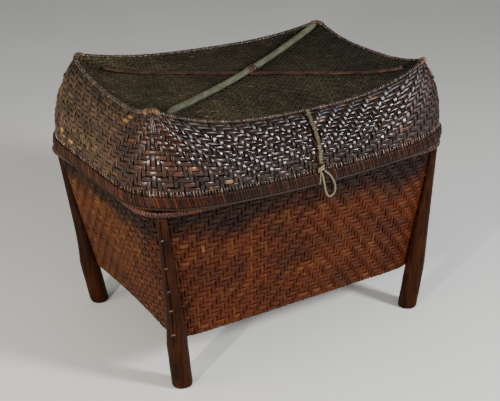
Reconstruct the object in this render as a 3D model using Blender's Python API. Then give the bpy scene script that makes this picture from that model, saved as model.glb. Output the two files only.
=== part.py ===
"""Lidded plaited basket on four corner stakes, with a lift-off lid and a closure loop.

The frame is metres with +Z up. X runs along the long side, -Y is the front, and the origin is on
the floor under the middle of the basket.
"""
import math

import bmesh
import bpy
import numpy as np
from mathutils.bvhtree import BVHTree

# Overall sizes
PEAK_HEIGHT = 0.456          # floor to the raised corners of the lid
BASE_HEIGHT = 0.081          # floor to the underside of the body at its corners
LEDGE_HEIGHT = 0.3062        # floor to the middle of the ledge hoop, where the body is widest
MOUTH_SHARE = 0.4277         # height of the hidden mouth, as a share from the ledge to the front edge
BASE_HALF_LENGTH = 0.2385
BASE_HALF_DEPTH = 0.161
LEDGE_HALF_LENGTH = 0.2775
LEDGE_HALF_DEPTH = 0.1825
PEAK_HALF_LENGTH = 0.2466    # half sizes of the lid's top edge, at the middles of its sides
PEAK_HALF_DEPTH = 0.1531

# Walls and clearances
FIT_GAP = 0.0003             # between pieces that touch
SEAT_GAP = 0.0005            # between a stake or strip and the wall that it is laid along
BODY_WALL = 0.0045
BASE_THICKNESS = 0.0045
LID_WALL = 0.0038
TOP_THICKNESS = 0.003
LID_PLAY = 0.003             # sideways play of the lid round the ledge hoop
NECK_CLEARANCE = 0.0085      # from the lid's wall in to the outer mouth hoop
BASE_ARCH = 0.009            # rise of the bottom edge at the middle of the short sides

# Powers of the rounded rectangles: the higher, the tighter the corner
BASE_POWER = 14
LEDGE_POWER = 9
LID_POWER = 6
PEAK_POWER = 20

# Hand-made corners that stray from a true rectangle
CORNER_STRAY = 0.018
LEDGE_STRAY_SHARES = {(-1, 1): (-1.0, 0.0, 0.0)}             # across, back and up
LID_STRAY_SHARES = {(-1, 1): (-0.33, 0.0, 0.0), (1, -1): (-0.33, 0.0, 0.0)}
STRAY_POWER = 6              # the higher, the nearer the stray keeps to its corner

# Hoops of the body
LEDGE_HOOP_THICKNESS = 0.0085
LEDGE_HOOP_HEIGHT = 0.011
NECK_RISE = 0.0008           # from the top of the ledge hoop up to the foot of the upright neck
MOUTH_HOOP_THICKNESS = 0.0035
MOUTH_HOOP_SHARE = 0.304     # width of the mouth's hoops, as a share of the upright neck

# Rim of the lid
RIM_CORNER_RISE = 0.0093     # from the ledge up to the rim's lower line at the corners
RIM_SAG_LONG = 0.0125        # how much lower the line is at the middle of the long sides
RIM_SAG_SHORT = 0.002
RIM_ROD_DIAMETER = 0.004
RIM_BAND_WIDTH = 0.012
RIM_BAND_THICKNESS = 0.0055
RIM_CORD_DIAMETER = 0.004   # the upper hoop of the rim
STOP_HOOP_HEIGHT = 0.006     # inner hoop that lands on the mouth

# Top of the lid
EDGE_CANE_DIAMETER = 0.007
# Drop of the top edge at the middle of each side, and of the top at its middle, as shares of the
# lid's rise above the ledge
EDGE_SAG_SHARES = {"front": 0.285, "back": 0.1435, "left": 0.1342, "right": 0.1368}
TOP_HOLLOW_SHARE = 0.1802
PEAK_STRAY = 0.012           # how far the hand-made corners stray from a true rectangle
SHOULDER_POWER = 2.6         # the higher, the fuller the lid's shoulders
EDGE_SAG_POWER = 2.8
PEAK_RISE_POWER = 10         # how sharply the top turns up into its corners
PANEL_RISE_POWER = 2

# Stakes: a round post below the body, shaved to a strip above it
POST_RADIUS = 0.0165
FOOT_INSET_LENGTH = 0.01     # from the corners of the body's base in to the middles of the feet
FOOT_INSET_DEPTH = 0.002
FOOT_CHAMFER = 0.0025
NOTCH_HEIGHT = 0.0004        # height over which the post is cut back to seat the body
STAKE_TOP_CLEARANCE = 0.0005
STAKE_TOP_REACH = 0.0062     # how far the strip stands out from the corner at its top
GROOVE_WIDTH = 0.0012        # between the stake and the batten beside it
BATTEN_FOOT_RISE = 0.005     # from the underside of the body up to the batten's lower end
BATTEN_STEP = 0.0008         # height over which the stake is cut back to seat the batten

# Crossed bars on the lid
ROUND_BAR_WIDTH = 0.0115
ROUND_BAR_HEIGHT = 0.0075
FLAT_BAR_WIDTH = 0.0048
FLAT_BAR_THICKNESS = 0.0032
FLAT_BAR_GROOVE = 0.0008
CROSSING_LENGTH = 0.015
CROSSING_THICKNESS = 0.0018
PEAK_LASHING_THICKNESS = 0.0011
PEAK_LASHING_RIB = 0.0008
PEAK_LASHING_HALF_LENGTH = 0.013
LASHING_END_TURN = 152.0     # degrees round the edge cane, from straight out to the lashing's end

# Closure
CORD_DIAMETER = 0.0066       # two strands bound together
CORD_TUCK = 0.006            # length of the cord lying on the top, inside the edge cane
KNOT_WIDTH = 0.0115
KNOT_HEIGHT = 0.0125
KNOT_DEPTH = 0.0080
LOOP_DIAMETER = 0.0034
# Route of the loop from its hinge line, in metres: across, out from the lid, up
LOOP_ROUTE = (
    (-0.0004, 0.0014, -0.0062), (0.0003, 0.0030, -0.0098), (0.0012, 0.0037, -0.0140),
    (0.0022, 0.0037, -0.0185), (0.0035, 0.0037, -0.0235), (0.0048, 0.0036, -0.0285),
    (0.0061, 0.0034, -0.0335), (0.0074, 0.0032, -0.0383), (0.0092, 0.0029, -0.0428),
    (0.0119, 0.0027, -0.0468), (0.0153, 0.0024, -0.0490), (0.0187, 0.0023, -0.0492),
    (0.0220, 0.0023, -0.0474), (0.0243, 0.0025, -0.0442), (0.0254, 0.0028, -0.0403),
    (0.0252, 0.0031, -0.0357), (0.0241, 0.0034, -0.0309), (0.0224, 0.0036, -0.0263),
    (0.0203, 0.0037, -0.0220), (0.0179, 0.0037, -0.0178), (0.0152, 0.0037, -0.0138),
    (0.0121, 0.0036, -0.0105), (0.0090, 0.0025, -0.0076), (0.0062, 0.0007, -0.0049),
)

# Counts
SHORT_STEPS = 5              # facets from the middle of a short side to the corner
LONG_STEPS = 7
CORNER_INDEX = SHORT_STEPS
QUARTER = SHORT_STEPS + LONG_STEPS
ROUND_SIDES = 8
STAKE_SIDES = 20
LID_ROWS = 7
PROFILE_PLACES = 121         # places down the lid's front where the cord is measured in
LAID_STEP = 8                # of these, one in so many becomes a point of the cord's route

# Stray of each corner of the lid: across, back and up, as shares of PEAK_STRAY
PEAK_STRAY_SHARES = {(-1, -1): (-1.0, 0.1, 0.0), (-1, 1): (0.4, 0.8, 0.5),
                     (1, 1): (-0.4, -0.4, 0.0), (1, -1): (-0.5, -0.6, -0.1)}
# Rings of the top and base panels, as shares of their outline
PANEL_RING_SHARES = (1.0, 0.93, 0.85, 0.7, 0.45, 0.2)
BASE_RING_SHARES = (1.0, 0.75, 0.4)
BAR_END_SHARE = 0.85         # how far the bars reach along the diagonals
# Stake above the body's underside: share of its height, and its width as a share of the post's
STAKE_TAPER_SHARES = ((0.0, 1.0), (0.15, 0.88), (0.34, 0.75), (0.56, 0.65), (0.78, 0.57), (1.0, 0.5))
BATTEN_SHARE = 0.4           # part of the stake's width that the batten takes
CORNERS = {"front_left": (-1, -1), "back_left": (-1, 1), "back_right": (1, 1), "front_right": (1, -1)}

FOOT_HALF_LENGTH = BASE_HALF_LENGTH - FOOT_INSET_LENGTH
FOOT_HALF_DEPTH = BASE_HALF_DEPTH - FOOT_INSET_DEPTH
LID_RISE = PEAK_HEIGHT - LEDGE_HEIGHT
EDGE_SAGS = {side: share * LID_RISE for side, share in EDGE_SAG_SHARES.items()}
TOP_HOLLOW = TOP_HOLLOW_SHARE * LID_RISE
RIM_CORNER_HEIGHT = LEDGE_HEIGHT + RIM_CORNER_RISE
MOUTH_HEIGHT = LEDGE_HEIGHT + (LID_RISE - EDGE_SAGS["front"]) * MOUTH_SHARE
LID_REACH = LEDGE_HOOP_THICKNESS + FIT_GAP + LID_PLAY          # ledge line to the lid's inner face
MOUTH_REACH = NECK_CLEARANCE + MOUTH_HOOP_THICKNESS + FIT_GAP  # mouth's line to the lid's inner face
BAND_REACH = LID_WALL + FIT_GAP                                # lid's inner face to the rim's
RIM_REACH = BAND_REACH + RIM_BAND_THICKNESS
RIM_HEIGHT = RIM_ROD_DIAMETER + FIT_GAP + RIM_BAND_WIDTH + FIT_GAP + RIM_CORD_DIAMETER
NECK_HEIGHT = LEDGE_HEIGHT + LEDGE_HOOP_HEIGHT / 2 + NECK_RISE
MOUTH_HOOP_WIDTH = (MOUTH_HEIGHT - NECK_HEIGHT) * MOUTH_HOOP_SHARE
CANE_REACH = EDGE_CANE_DIAMETER / 2 / math.cos(math.pi / ROUND_SIDES)
HOLD = CANE_REACH + FIT_GAP                                    # cane's centre line to its neighbours


def clear_scene():
    """Remove every object, so that the file can be run again."""
    for old in list(bpy.data.objects):
        bpy.data.objects.remove(old, do_unlink=True)


def finish(name, colour, roughness):
    """A plain material of one colour."""
    made = bpy.data.materials.new(name)
    made.use_nodes = True
    shader = made.node_tree.nodes["Principled BSDF"]
    shader.inputs["Base Color"].default_value = (*colour, 1.0)
    shader.inputs["Roughness"].default_value = roughness
    shader.inputs["Metallic"].default_value = 0.0
    return made


def add_solid(name, points, faces, material, carrier=None, smooth_angle=40.0):
    """One closed body with its faces turned outwards, carried by an empty where it moves."""
    mesh = bpy.data.meshes.new(name)
    mesh.from_pydata([tuple(p) for p in points], [], faces)
    shape = bmesh.new()
    shape.from_mesh(mesh)
    bmesh.ops.triangulate(shape, faces=shape.faces[:])
    if shape.calc_volume(signed=True) < 0:
        bmesh.ops.reverse_faces(shape, faces=shape.faces[:])
    shape.to_mesh(mesh)
    shape.free()
    mesh.shade_smooth()
    mesh.set_sharp_from_angle(angle=math.radians(smooth_angle))
    mesh.materials.append(material)
    solid = bpy.data.objects.new(name, mesh)
    bpy.context.collection.objects.link(solid)
    if carrier is not None:
        solid.parent = carrier
        solid.matrix_parent_inverse = carrier.matrix_world.inverted()
    return solid


def add_carrier(name, place):
    """An empty on a joint's axis."""
    carrier = bpy.data.objects.new(name, None)
    carrier.location = place
    bpy.context.collection.objects.link(carrier)
    bpy.context.view_layer.update()
    return carrier


def half_side(half_run, half_reach, power, steps):
    """Places along half a side of a rounded rectangle, closer together where it turns.

    The side is reach = half_reach * (1 - run ** power) ** (1 / power), with run as a share. The
    last place is the corner's tip, where both shares are equal.
    """
    run = np.linspace(0.0, 0.5 ** (1.0 / power), 400)
    reach = (1.0 - run ** power) ** (1.0 / power)
    step = np.stack([np.diff(run) * half_run, np.diff(reach) * half_reach])
    length = np.cumsum(np.hypot(*step))
    turn = np.cumsum(np.abs(np.diff(np.arctan2(step[1], step[0]), prepend=0.0)))
    progress = np.concatenate([[0.0], length / length[-1] + turn / turn[-1]])
    at = np.interp(np.linspace(0.0, progress[-1], steps + 1), progress, run)
    return at * half_run, (1.0 - at ** power) ** (1.0 / power) * half_reach


def outline(half_length, half_depth, power):
    """A rounded rectangle, anticlockwise from the middle of the right side."""
    up, right = half_side(half_depth, half_length, power, SHORT_STEPS)
    back, top = half_side(half_length, half_depth, power, LONG_STEPS)
    quarter = np.concatenate([np.stack([right, up], 1), np.stack([back, top], 1)[::-1][1:]])
    turned = quarter[::-1] * (-1, 1)
    return np.concatenate([quarter[:-1], turned[:-1], -quarter[:-1], -turned[:-1]])


def mitres(ring):
    """Outward direction at each corner of a ring, long enough to keep its sides parallel."""
    side = np.roll(ring, -1, 0) - ring
    normal = np.stack([side[:, 1], -side[:, 0]], 1) / np.linalg.norm(side, axis=1)[:, None]
    before = np.roll(normal, 1, 0)
    return (before + normal) / (1.0 + (before * normal).sum(1))[:, None]


def strays(ring, shares, amount, power):
    """How far each place of a ring strays across, back and up with the corners near it."""
    across, back = np.clip(ring / np.abs(ring[CORNER_INDEX]), -1.0, 1.0).T
    moved = np.zeros((len(ring), 3))
    for (right, rear), way in shares.items():
        weight = ((1.0 + right * across) * (1.0 + rear * back) / 4.0) ** power
        moved += weight[:, None] * np.array(way) * amount
    return moved


BASE_RING = outline(BASE_HALF_LENGTH, BASE_HALF_DEPTH, BASE_POWER)
LEDGE_RING = outline(LEDGE_HALF_LENGTH, LEDGE_HALF_DEPTH, LEDGE_POWER)
LEDGE_RING = LEDGE_RING + strays(LEDGE_RING, LEDGE_STRAY_SHARES, CORNER_STRAY, STRAY_POWER)[:, :2]
TRUE_LID_RING = outline(LEDGE_HALF_LENGTH + LID_REACH, LEDGE_HALF_DEPTH + LID_REACH, LID_POWER)
LID_STRAY = strays(TRUE_LID_RING, LID_STRAY_SHARES, CORNER_STRAY, STRAY_POWER)
LID_RING = TRUE_LID_RING + LID_STRAY[:, :2]
MOUTH_RING = LID_RING - mitres(LID_RING) * MOUTH_REACH
PEAK_RING = outline(PEAK_HALF_LENGTH, PEAK_HALF_DEPTH, PEAK_POWER)
RING_COUNT = len(LEDGE_RING)


def side_shares(ring):
    """How far each place of a ring is from the middle of its side, 1 at the corner tips."""
    share = np.abs(ring) / np.abs(ring[CORNER_INDEX])
    on_short = share[:, 0] >= share[:, 1]
    return np.clip(np.where(on_short, share[:, 1], share[:, 0]), 0.0, 1.0), on_short


def corner_index(signs):
    """The place of a corner tip in every ring."""
    turns = {(1, 1): 0, (-1, 1): 1, (-1, -1): 2, (1, -1): 3}[signs]
    if turns in (0, 2):
        return turns // 2 * 2 * QUARTER + CORNER_INDEX
    return (turns + 1) // 2 * 2 * QUARTER - CORNER_INDEX


def body_ring(height):
    """Outer line of the body at a height: it flares to the ledge, steps in and runs upright."""
    if height <= LEDGE_HEIGHT:
        share = (height - BASE_HEIGHT) / (LEDGE_HEIGHT - BASE_HEIGHT)
        return BASE_RING + (LEDGE_RING - BASE_RING) * share
    share = min(1.0, (height - LEDGE_HEIGHT) / (NECK_HEIGHT - LEDGE_HEIGHT))
    return LEDGE_RING + (MOUTH_RING - LEDGE_RING) * share


def base_rise(points):
    """Arch of the underside: highest at the middles of the short sides, nil at the corners."""
    across = np.abs(points[:, 0]) / BASE_HALF_LENGTH
    along = np.abs(points[:, 1]) / BASE_HALF_DEPTH
    return BASE_ARCH * across ** 2 * np.clip(1.0 - along ** 2, 0.0, 1.0)


def at_height(ring, height):
    """A plan ring lifted to one height, or to a height for each place."""
    return np.column_stack([ring, np.broadcast_to(height, len(ring))])


def ring_solid(name, rows, material, carrier=None, smooth_angle=40.0):
    """A closed profile carried round a ring: rows are the profile's points in order."""
    rows = np.asarray(rows)
    count, around = rows.shape[:2]
    faces = []
    for row in range(count):
        after = (row + 1) % count
        for place in range(around):
            beside = (place + 1) % around
            faces.append((row * around + place, row * around + beside,
                          after * around + beside, after * around + place))
    return add_solid(name, rows.reshape(-1, 3), faces, material, carrier, smooth_angle)


def disc_solid(name, upper, upper_middle, lower, lower_middle, material, carrier=None):
    """A panel with two skins, each of rings from its outline in to one middle point."""
    rows = [*upper, *lower]
    around = len(upper[0])
    points = np.concatenate([*rows, [upper_middle], [lower_middle]])
    middles = (len(points) - 2, len(points) - 1)
    starts = [row * around for row in range(len(rows))]
    skins = (starts[:len(upper)], starts[len(upper):])
    faces = []
    for place in range(around):
        beside = (place + 1) % around
        for skin, (rings, middle) in enumerate(zip(skins, middles)):
            for outer, inner in zip(rings[:-1], rings[1:]):
                face = (outer + place, outer + beside, inner + beside, inner + place)
                faces.append(face if skin == 0 else face[::-1])
            tip = (rings[-1] + place, rings[-1] + beside, middle)
            faces.append(tip if skin == 0 else tip[::-1])
        faces.append((skins[0][0] + beside, skins[0][0] + place,
                      skins[1][0] + place, skins[1][0] + beside))
    return add_solid(name, points, faces, material, carrier)


def loft_solid(name, sections, material, carrier=None, smooth_angle=40.0):
    """Closed sections joined in order and capped at both ends."""
    sections = np.asarray(sections)
    count, around = sections.shape[:2]
    faces = []
    for row in range(count - 1):
        for place in range(around):
            beside = (place + 1) % around
            faces.append((row * around + place, row * around + beside,
                          (row + 1) * around + beside, (row + 1) * around + place))
    faces.append(tuple(range(around))[::-1])
    faces.append(tuple((count - 1) * around + place for place in range(around)))
    return add_solid(name, sections.reshape(-1, 3), faces, material, carrier, smooth_angle)


def round_profile(thickness, height=None):
    """Outward and upward steps round a circle or oval, turned so that a flat lies at the top."""
    turn = (np.arange(ROUND_SIDES) + 0.5) * 2.0 * math.pi / ROUND_SIDES
    flat = 2.0 * math.cos(math.pi / ROUND_SIDES)
    height = thickness if height is None else height
    return [(thickness / flat * math.cos(a), height / flat * math.sin(a)) for a in turn]


def hoop(name, ring, outward, height, profile, material, carrier=None, smooth_angle=40.0):
    """A hoop beside a ring: the profile's outward steps follow the ring's own mitres."""
    direction = mitres(ring)
    rows = [at_height(ring + direction * (outward + out), height + up) for out, up in profile]
    return ring_solid(name, rows, material, carrier, smooth_angle)


def build_body(cane, dark_cane):
    """The flared wall, the base and the three hoops of the body."""
    foot = at_height(BASE_RING, BASE_HEIGHT + base_rise(BASE_RING))
    inner_base = BASE_RING - mitres(BASE_RING) * BODY_WALL
    inner_ledge = LEDGE_RING - mitres(LEDGE_RING) * BODY_WALL
    inner_mouth = MOUTH_RING - mitres(MOUTH_RING) * BODY_WALL
    rows = [foot, at_height(LEDGE_RING, LEDGE_HEIGHT), at_height(MOUTH_RING, NECK_HEIGHT),
            at_height(MOUTH_RING, MOUTH_HEIGHT), at_height(inner_mouth, MOUTH_HEIGHT),
            at_height(inner_mouth, NECK_HEIGHT), at_height(inner_ledge, LEDGE_HEIGHT),
            at_height(inner_base, BASE_HEIGHT + base_rise(BASE_RING))]
    ring_solid("body_wall", rows, cane)

    edge = inner_base - mitres(inner_base) * FIT_GAP
    lower = [edge * share for share in BASE_RING_SHARES]
    lower_rows = [at_height(ring, BASE_HEIGHT + base_rise(ring)) for ring in lower]
    upper_rows = [row + (0.0, 0.0, BASE_THICKNESS) for row in lower_rows]
    disc_solid("body_base", upper_rows, (0.0, 0.0, BASE_HEIGHT + BASE_THICKNESS),
               lower_rows, (0.0, 0.0, BASE_HEIGHT), cane)

    hoop("ledge_hoop", LEDGE_RING, FIT_GAP + LEDGE_HOOP_THICKNESS / 2, LEDGE_HEIGHT,
         round_profile(LEDGE_HOOP_THICKNESS, LEDGE_HOOP_HEIGHT), dark_cane)
    top = MOUTH_HEIGHT
    strip = ((0.0, 0.0), (MOUTH_HOOP_THICKNESS, 0.0), (MOUTH_HOOP_THICKNESS, MOUTH_HOOP_WIDTH),
             (0.0, MOUTH_HOOP_WIDTH))
    inside = -BODY_WALL - FIT_GAP - MOUTH_HOOP_THICKNESS
    for name, reach in (("mouth_hoop_outer", FIT_GAP), ("mouth_hoop_inner", inside)):
        hoop(name, MOUTH_RING, reach, top - MOUTH_HOOP_WIDTH, strip, dark_cane)


def lay_on(along, out, frame):
    """Outward places of a stake's section, raised to the seat gap where the wall is in the way.

    The wall's line is moved out by the gap and read at each place along the section.
    """
    tip, outward, toward_long, ring = frame
    line = ring + mitres(ring) * SEAT_GAP - tip
    across, up = line @ toward_long, line @ outward
    after = (np.roll(across, -1), np.roll(up, -1))
    wall = np.full(len(along), -2.0 * POST_RADIUS)
    for k, place in enumerate(along):
        crossed = (across - place) * (after[0] - place) <= 0.0
        crossed &= np.abs(after[0] - across) > 0.0
        share = (place - across[crossed]) / (after[0][crossed] - across[crossed])
        wall[k] = max(wall[k], (up[crossed] + (after[1][crossed] - up[crossed]) * share).max())
    return np.maximum(out, wall)


def stake_levels():
    """Sections of the stake above its notch: height, half width, share of the way up, if split."""
    bottom = BASE_HEIGHT - FIT_GAP
    run = LEDGE_HEIGHT - LEDGE_HOOP_HEIGHT / 2 - STAKE_TOP_CLEARANCE - bottom
    foot = BATTEN_FOOT_RISE / run
    step = BATTEN_STEP / run
    shares, widths = zip(*STAKE_TAPER_SHARES)
    for level, split in [(0.0, False), (foot, False), (foot + step, True),
                         *((share, True) for share in shares[1:])]:
        yield bottom + run * level, POST_RADIUS * np.interp(level, shares, widths), level, split


def stake_frame(signs, height):
    """Corner tip of the body at a height, its outward direction, and the way to the long side."""
    ring = body_ring(height)
    place = corner_index(signs)
    outward = mitres(ring)[place]
    outward = outward / np.linalg.norm(outward)
    toward_long = np.array([-signs[0] * abs(outward[1]), signs[1] * abs(outward[0])])
    return ring[place], outward, toward_long, ring


def stake_section(signs, height, half_width, level):
    """An oval whose outer side runs straight from the post to the strip's top, as (points, split).

    The oval's reach out from the corner falls from the post's to the strip's, its depth with it.
    """
    tip, outward, toward_long, ring = stake_frame(signs, height)
    foot_tip, foot_outward, _, _ = stake_frame(signs, BASE_HEIGHT)
    lean = (BASE_HEIGHT / LEDGE_HEIGHT) * (LEDGE_RING - BASE_RING)[corner_index(signs)]
    axis = np.array(signs) * (FOOT_HALF_LENGTH, FOOT_HALF_DEPTH) + lean
    post_reach = (axis - foot_tip) @ foot_outward + POST_RADIUS
    reach = post_reach + (STAKE_TOP_REACH - post_reach) * level
    half_depth = POST_RADIUS + (STAKE_TOP_REACH - POST_RADIUS) * level
    turn = np.arange(STAKE_SIDES) * 2.0 * math.pi / STAKE_SIDES
    along = half_width * np.cos(turn)
    out = reach - half_depth + half_depth * np.sin(turn)
    return tip, outward, toward_long, ring, along, out


def build_stakes(wood):
    """Four stakes that are posts below the body, each with a batten laid beside its strip."""
    for place_name, signs in CORNERS.items():
        turn = np.arange(STAKE_SIDES) * 2.0 * math.pi / STAKE_SIDES
        lean = (LEDGE_RING - BASE_RING)[corner_index(signs)] / LEDGE_HEIGHT
        _, outward, toward_long, _ = stake_frame(signs, BASE_HEIGHT)
        foot = np.array(signs) * (FOOT_HALF_LENGTH, FOOT_HALF_DEPTH)
        notch = BASE_HEIGHT - FIT_GAP - NOTCH_HEIGHT
        sections = []
        for height, radius in ((0.0, POST_RADIUS - FOOT_CHAMFER), (FOOT_CHAMFER, POST_RADIUS),
                               (notch, POST_RADIUS)):
            centre = foot + lean * height
            oval = centre + np.outer(radius * np.cos(turn), toward_long)
            oval = oval + np.outer(radius * np.sin(turn), outward)
            sections.append(at_height(oval, height))
        battens = []
        for height, half_width, level, is_split in stake_levels():
            tip, outward, toward_long, ring, along, out = stake_section(signs, height, half_width, level)
            split = half_width * (2.0 * BATTEN_SHARE - 1.0)
            cut = split + GROOVE_WIDTH / 2 if is_split else -half_width
            frame = (tip, outward, toward_long, ring)
            side = np.maximum(along, cut)
            leg = tip + np.outer(side, toward_long) + np.outer(lay_on(side, out, frame), outward)
            sections.append(at_height(leg, height))
            if is_split:
                side = np.minimum(along, split - GROOVE_WIDTH / 2)
                strip = tip + np.outer(side, toward_long) + np.outer(lay_on(side, out, frame), outward)
                battens.append(at_height(strip, height if battens else height + FIT_GAP))
        loft_solid("leg_" + place_name, sections, wood, smooth_angle=50.0)
        loft_solid("batten_" + place_name, battens, wood, smooth_angle=50.0)


def peak_edge():
    """Centre line of the cane round the lid's top edge: it sags between the raised corners."""
    share, on_short = side_shares(PEAK_RING)
    sag = np.where(on_short, np.where(PEAK_RING[:, 0] > 0, EDGE_SAGS["right"], EDGE_SAGS["left"]),
                   np.where(PEAK_RING[:, 1] > 0, EDGE_SAGS["back"], EDGE_SAGS["front"]))
    drop = sag * (1.0 - share ** EDGE_SAG_POWER)
    stray = strays(PEAK_RING, PEAK_STRAY_SHARES, PEAK_STRAY, 1)
    top = PEAK_HEIGHT - EDGE_CANE_DIAMETER / 2
    return at_height(PEAK_RING, top - drop) + stray, drop, stray[:, 2]


EDGE, EDGE_DROP, EDGE_LIFT = peak_edge()


def panel_height(share, drop, lift):
    """Height of the top at a share of the way from its middle out to the edge.

    The drop runs from the hollow at the middle to the edge's own drop. It follows a low power of
    the share where the edge sags, and a high one into the corners, which turn up sharply.
    """
    sharp = np.clip(1.0 - drop / TOP_HOLLOW, 0.0, 1.0)
    power = PANEL_RISE_POWER + (PEAK_RISE_POWER - PANEL_RISE_POWER) * sharp
    fallen = TOP_HOLLOW + (drop - TOP_HOLLOW) * share ** power
    return PEAK_HEIGHT - EDGE_CANE_DIAMETER / 2 - fallen + lift * share ** power


def panel_ring(share):
    """A ring of the top's middle skin, scaled down from the line inside the edge cane."""
    inside = EDGE[:, :2] - mitres(EDGE[:, :2]) * HOLD
    return at_height(inside * share, panel_height(share, EDGE_DROP, EDGE_LIFT))


def rim_line():
    """Height of the rim's lower line, which is lowest at the middles of the sides."""
    share, on_short = side_shares(TRUE_LID_RING)
    sag = np.where(on_short, RIM_SAG_SHORT, RIM_SAG_LONG) * (1.0 - share ** 2)
    return RIM_CORNER_HEIGHT - sag + LID_STRAY[:, 2]


def lid_skin(rows):
    """Outer face of the lid's wall: upright behind the rim, then a full shoulder to the edge."""
    low = LID_RING + mitres(LID_RING) * LID_WALL
    start = rim_line() + RIM_HEIGHT
    skin = [at_height(low, rim_line()), at_height(low, start)]
    for share in np.linspace(0.0, 1.0, rows)[1:]:
        bend = share ** SHOULDER_POWER
        plan = low + (EDGE[:, :2] - low) * bend
        skin.append(at_height(plan, start + (EDGE[:, 2] - start) * share))
    return np.array(skin)


def lid_faces():
    """Outer and inner face of the lid's wall, which ends under the edge cane."""
    outer = lid_skin(LID_ROWS)
    around = np.roll(outer, -1, 1) - np.roll(outer, 1, 1)
    down = np.gradient(outer, axis=0)
    down[0] = down[1]
    normal = np.cross(around, down)
    normal /= np.linalg.norm(normal, axis=2)[..., None]
    normal[:2] = at_height(mitres(LID_RING), 0.0)
    inner = outer - normal * LID_WALL
    run = np.roll(EDGE, -1, 0) - np.roll(EDGE, 1, 0)
    run /= np.linalg.norm(run, axis=1)[:, None]
    toward = outer[-2] - outer[-1]
    toward -= run * (toward * run).sum(1)[:, None]
    toward /= np.linalg.norm(toward, axis=1)[:, None]
    end = EDGE + toward * (HOLD + FIT_GAP)
    outer[-1] = end + normal[-1] * LID_WALL / 2
    inner[-1] = end - normal[-1] * LID_WALL / 2
    return outer, inner


def build_lid(cane, dark_cane, lid):
    """The lid's wall, top, edge cane and rim, and the top and wall as surfaces to lay things on."""
    outer, inner = lid_faces()
    side = ring_solid("lid_wall", np.concatenate([outer, inner[::-1]]), cane, lid)

    middle = [panel_ring(share) for share in PANEL_RING_SHARES]
    half = np.array([0.0, 0.0, TOP_THICKNESS / 2])
    centre = np.array([0.0, 0.0, float(panel_height(0.0, TOP_HOLLOW, 0.0))])
    top = disc_solid("lid_top", [ring + half for ring in middle], centre + half,
                     [ring - half for ring in middle], centre - half, cane, lid)

    hoop("lid_edge_cane", EDGE[:, :2], 0.0, EDGE[:, 2], round_profile(EDGE_CANE_DIAMETER),
         dark_cane, lid)
    line = rim_line()
    rod = RIM_ROD_DIAMETER / 2
    hoop("lid_rim_rod", LID_RING, RIM_REACH - rod, line + rod, round_profile(RIM_ROD_DIAMETER),
         dark_cane, lid)
    base = line + RIM_ROD_DIAMETER + FIT_GAP
    bulge = RIM_BAND_WIDTH / 4
    band = ((0.0, 0.0), (RIM_BAND_THICKNESS - bulge / 2, 0.0), (RIM_BAND_THICKNESS, bulge),
            (RIM_BAND_THICKNESS, RIM_BAND_WIDTH - bulge),
            (RIM_BAND_THICKNESS - bulge / 2, RIM_BAND_WIDTH), (0.0, RIM_BAND_WIDTH))
    hoop("lid_rim_band", LID_RING, BAND_REACH, base, band, dark_cane, lid)
    cord = RIM_CORD_DIAMETER / 2
    cord_height = base + RIM_BAND_WIDTH + FIT_GAP + cord
    hoop("lid_rim_hoop_upper", LID_RING, BAND_REACH + cord, cord_height,
         round_profile(RIM_CORD_DIAMETER), dark_cane, lid)

    landing = MOUTH_HEIGHT + FIT_GAP
    rows = []
    for height in (landing, landing + STOP_HOOP_HEIGHT):
        wall = np.array([[np.interp(height, inner[:, k, 2], inner[:, k, c]) for c in (0, 1)]
                         for k in range(RING_COUNT)])
        rows.append(at_height(wall - mitres(wall) * FIT_GAP, height))
    inside = LID_RING - mitres(LID_RING) * (NECK_CLEARANCE + MOUTH_HOOP_THICKNESS)
    rows += [at_height(inside, landing + STOP_HOOP_HEIGHT), at_height(inside, landing)]
    ring_solid("lid_stop_hoop", rows, dark_cane, lid)
    return [BVHTree.FromPolygons([v.co for v in solid.data.vertices],
                                 [tuple(p.vertices) for p in solid.data.polygons])
            for solid in (top, side)]


def bar_end(signs):
    """Place on the diagonal to one corner of the top, where a bar ends."""
    inside = EDGE[:, :2] - mitres(EDGE[:, :2]) * HOLD
    return inside[corner_index(signs)] * BAR_END_SHARE


def rest_line(top, start, end, half_width, stations, straight):
    """Line from start to end that rests on the top without cutting into it.

    Rays cast down on to the top give its height along the line and over the bar's width. The
    line's own heights are raised where it would pass under any of them.
    """
    per_span = 8
    shares = np.linspace(0.0, 1.0, (stations - 1) * per_span + 1)
    way = (end - start) / np.linalg.norm(end - start)
    aside = np.array([-way[1], way[0]])
    ground = np.full(len(shares), -1.0)
    for side in np.linspace(-half_width, half_width, 7):
        for k, share in enumerate(shares):
            spot = start + (end - start) * share + aside * side
            hit = top.ray_cast((*spot, 1.0), (0.0, 0.0, -1.0))[0]
            ground[k] = max(ground[k], hit[2])
    knots = shares[::per_span]
    height = ground[::per_span].copy()
    if straight:
        slope = (height[-1] - height[0])
        height = height[0] + slope * knots
        height += (ground - np.interp(shares, knots, height)).max()
    else:
        for k in range(len(knots) - 1):
            span = slice(k * per_span, (k + 1) * per_span + 1)
            under = (ground[span] - np.interp(shares[span], knots, height)).max()
            height[k:k + 2] += max(0.0, under)
    plan = start + (end - start) * knots[:, None]
    return at_height(plan, height + FIT_GAP)


def across_run(points):
    """Level direction square to a run of points, at each of them."""
    run = np.gradient(points, axis=0)[:, :2]
    run /= np.linalg.norm(run, axis=1)[:, None]
    return np.stack([-run[:, 1], run[:, 0], np.zeros(len(run))], 1)


def half_round(width, height, sides=9):
    """Sideways and upward steps of a half-round stick with soft lower edges."""
    turn = np.linspace(0.0, math.pi, sides)
    arch = [(width / 2 * math.cos(a), height * (0.2 + 0.8 * math.sin(a))) for a in turn]
    return [(width / 2 * 0.85, 0.0), *arch, (-width / 2 * 0.85, 0.0)]


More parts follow.
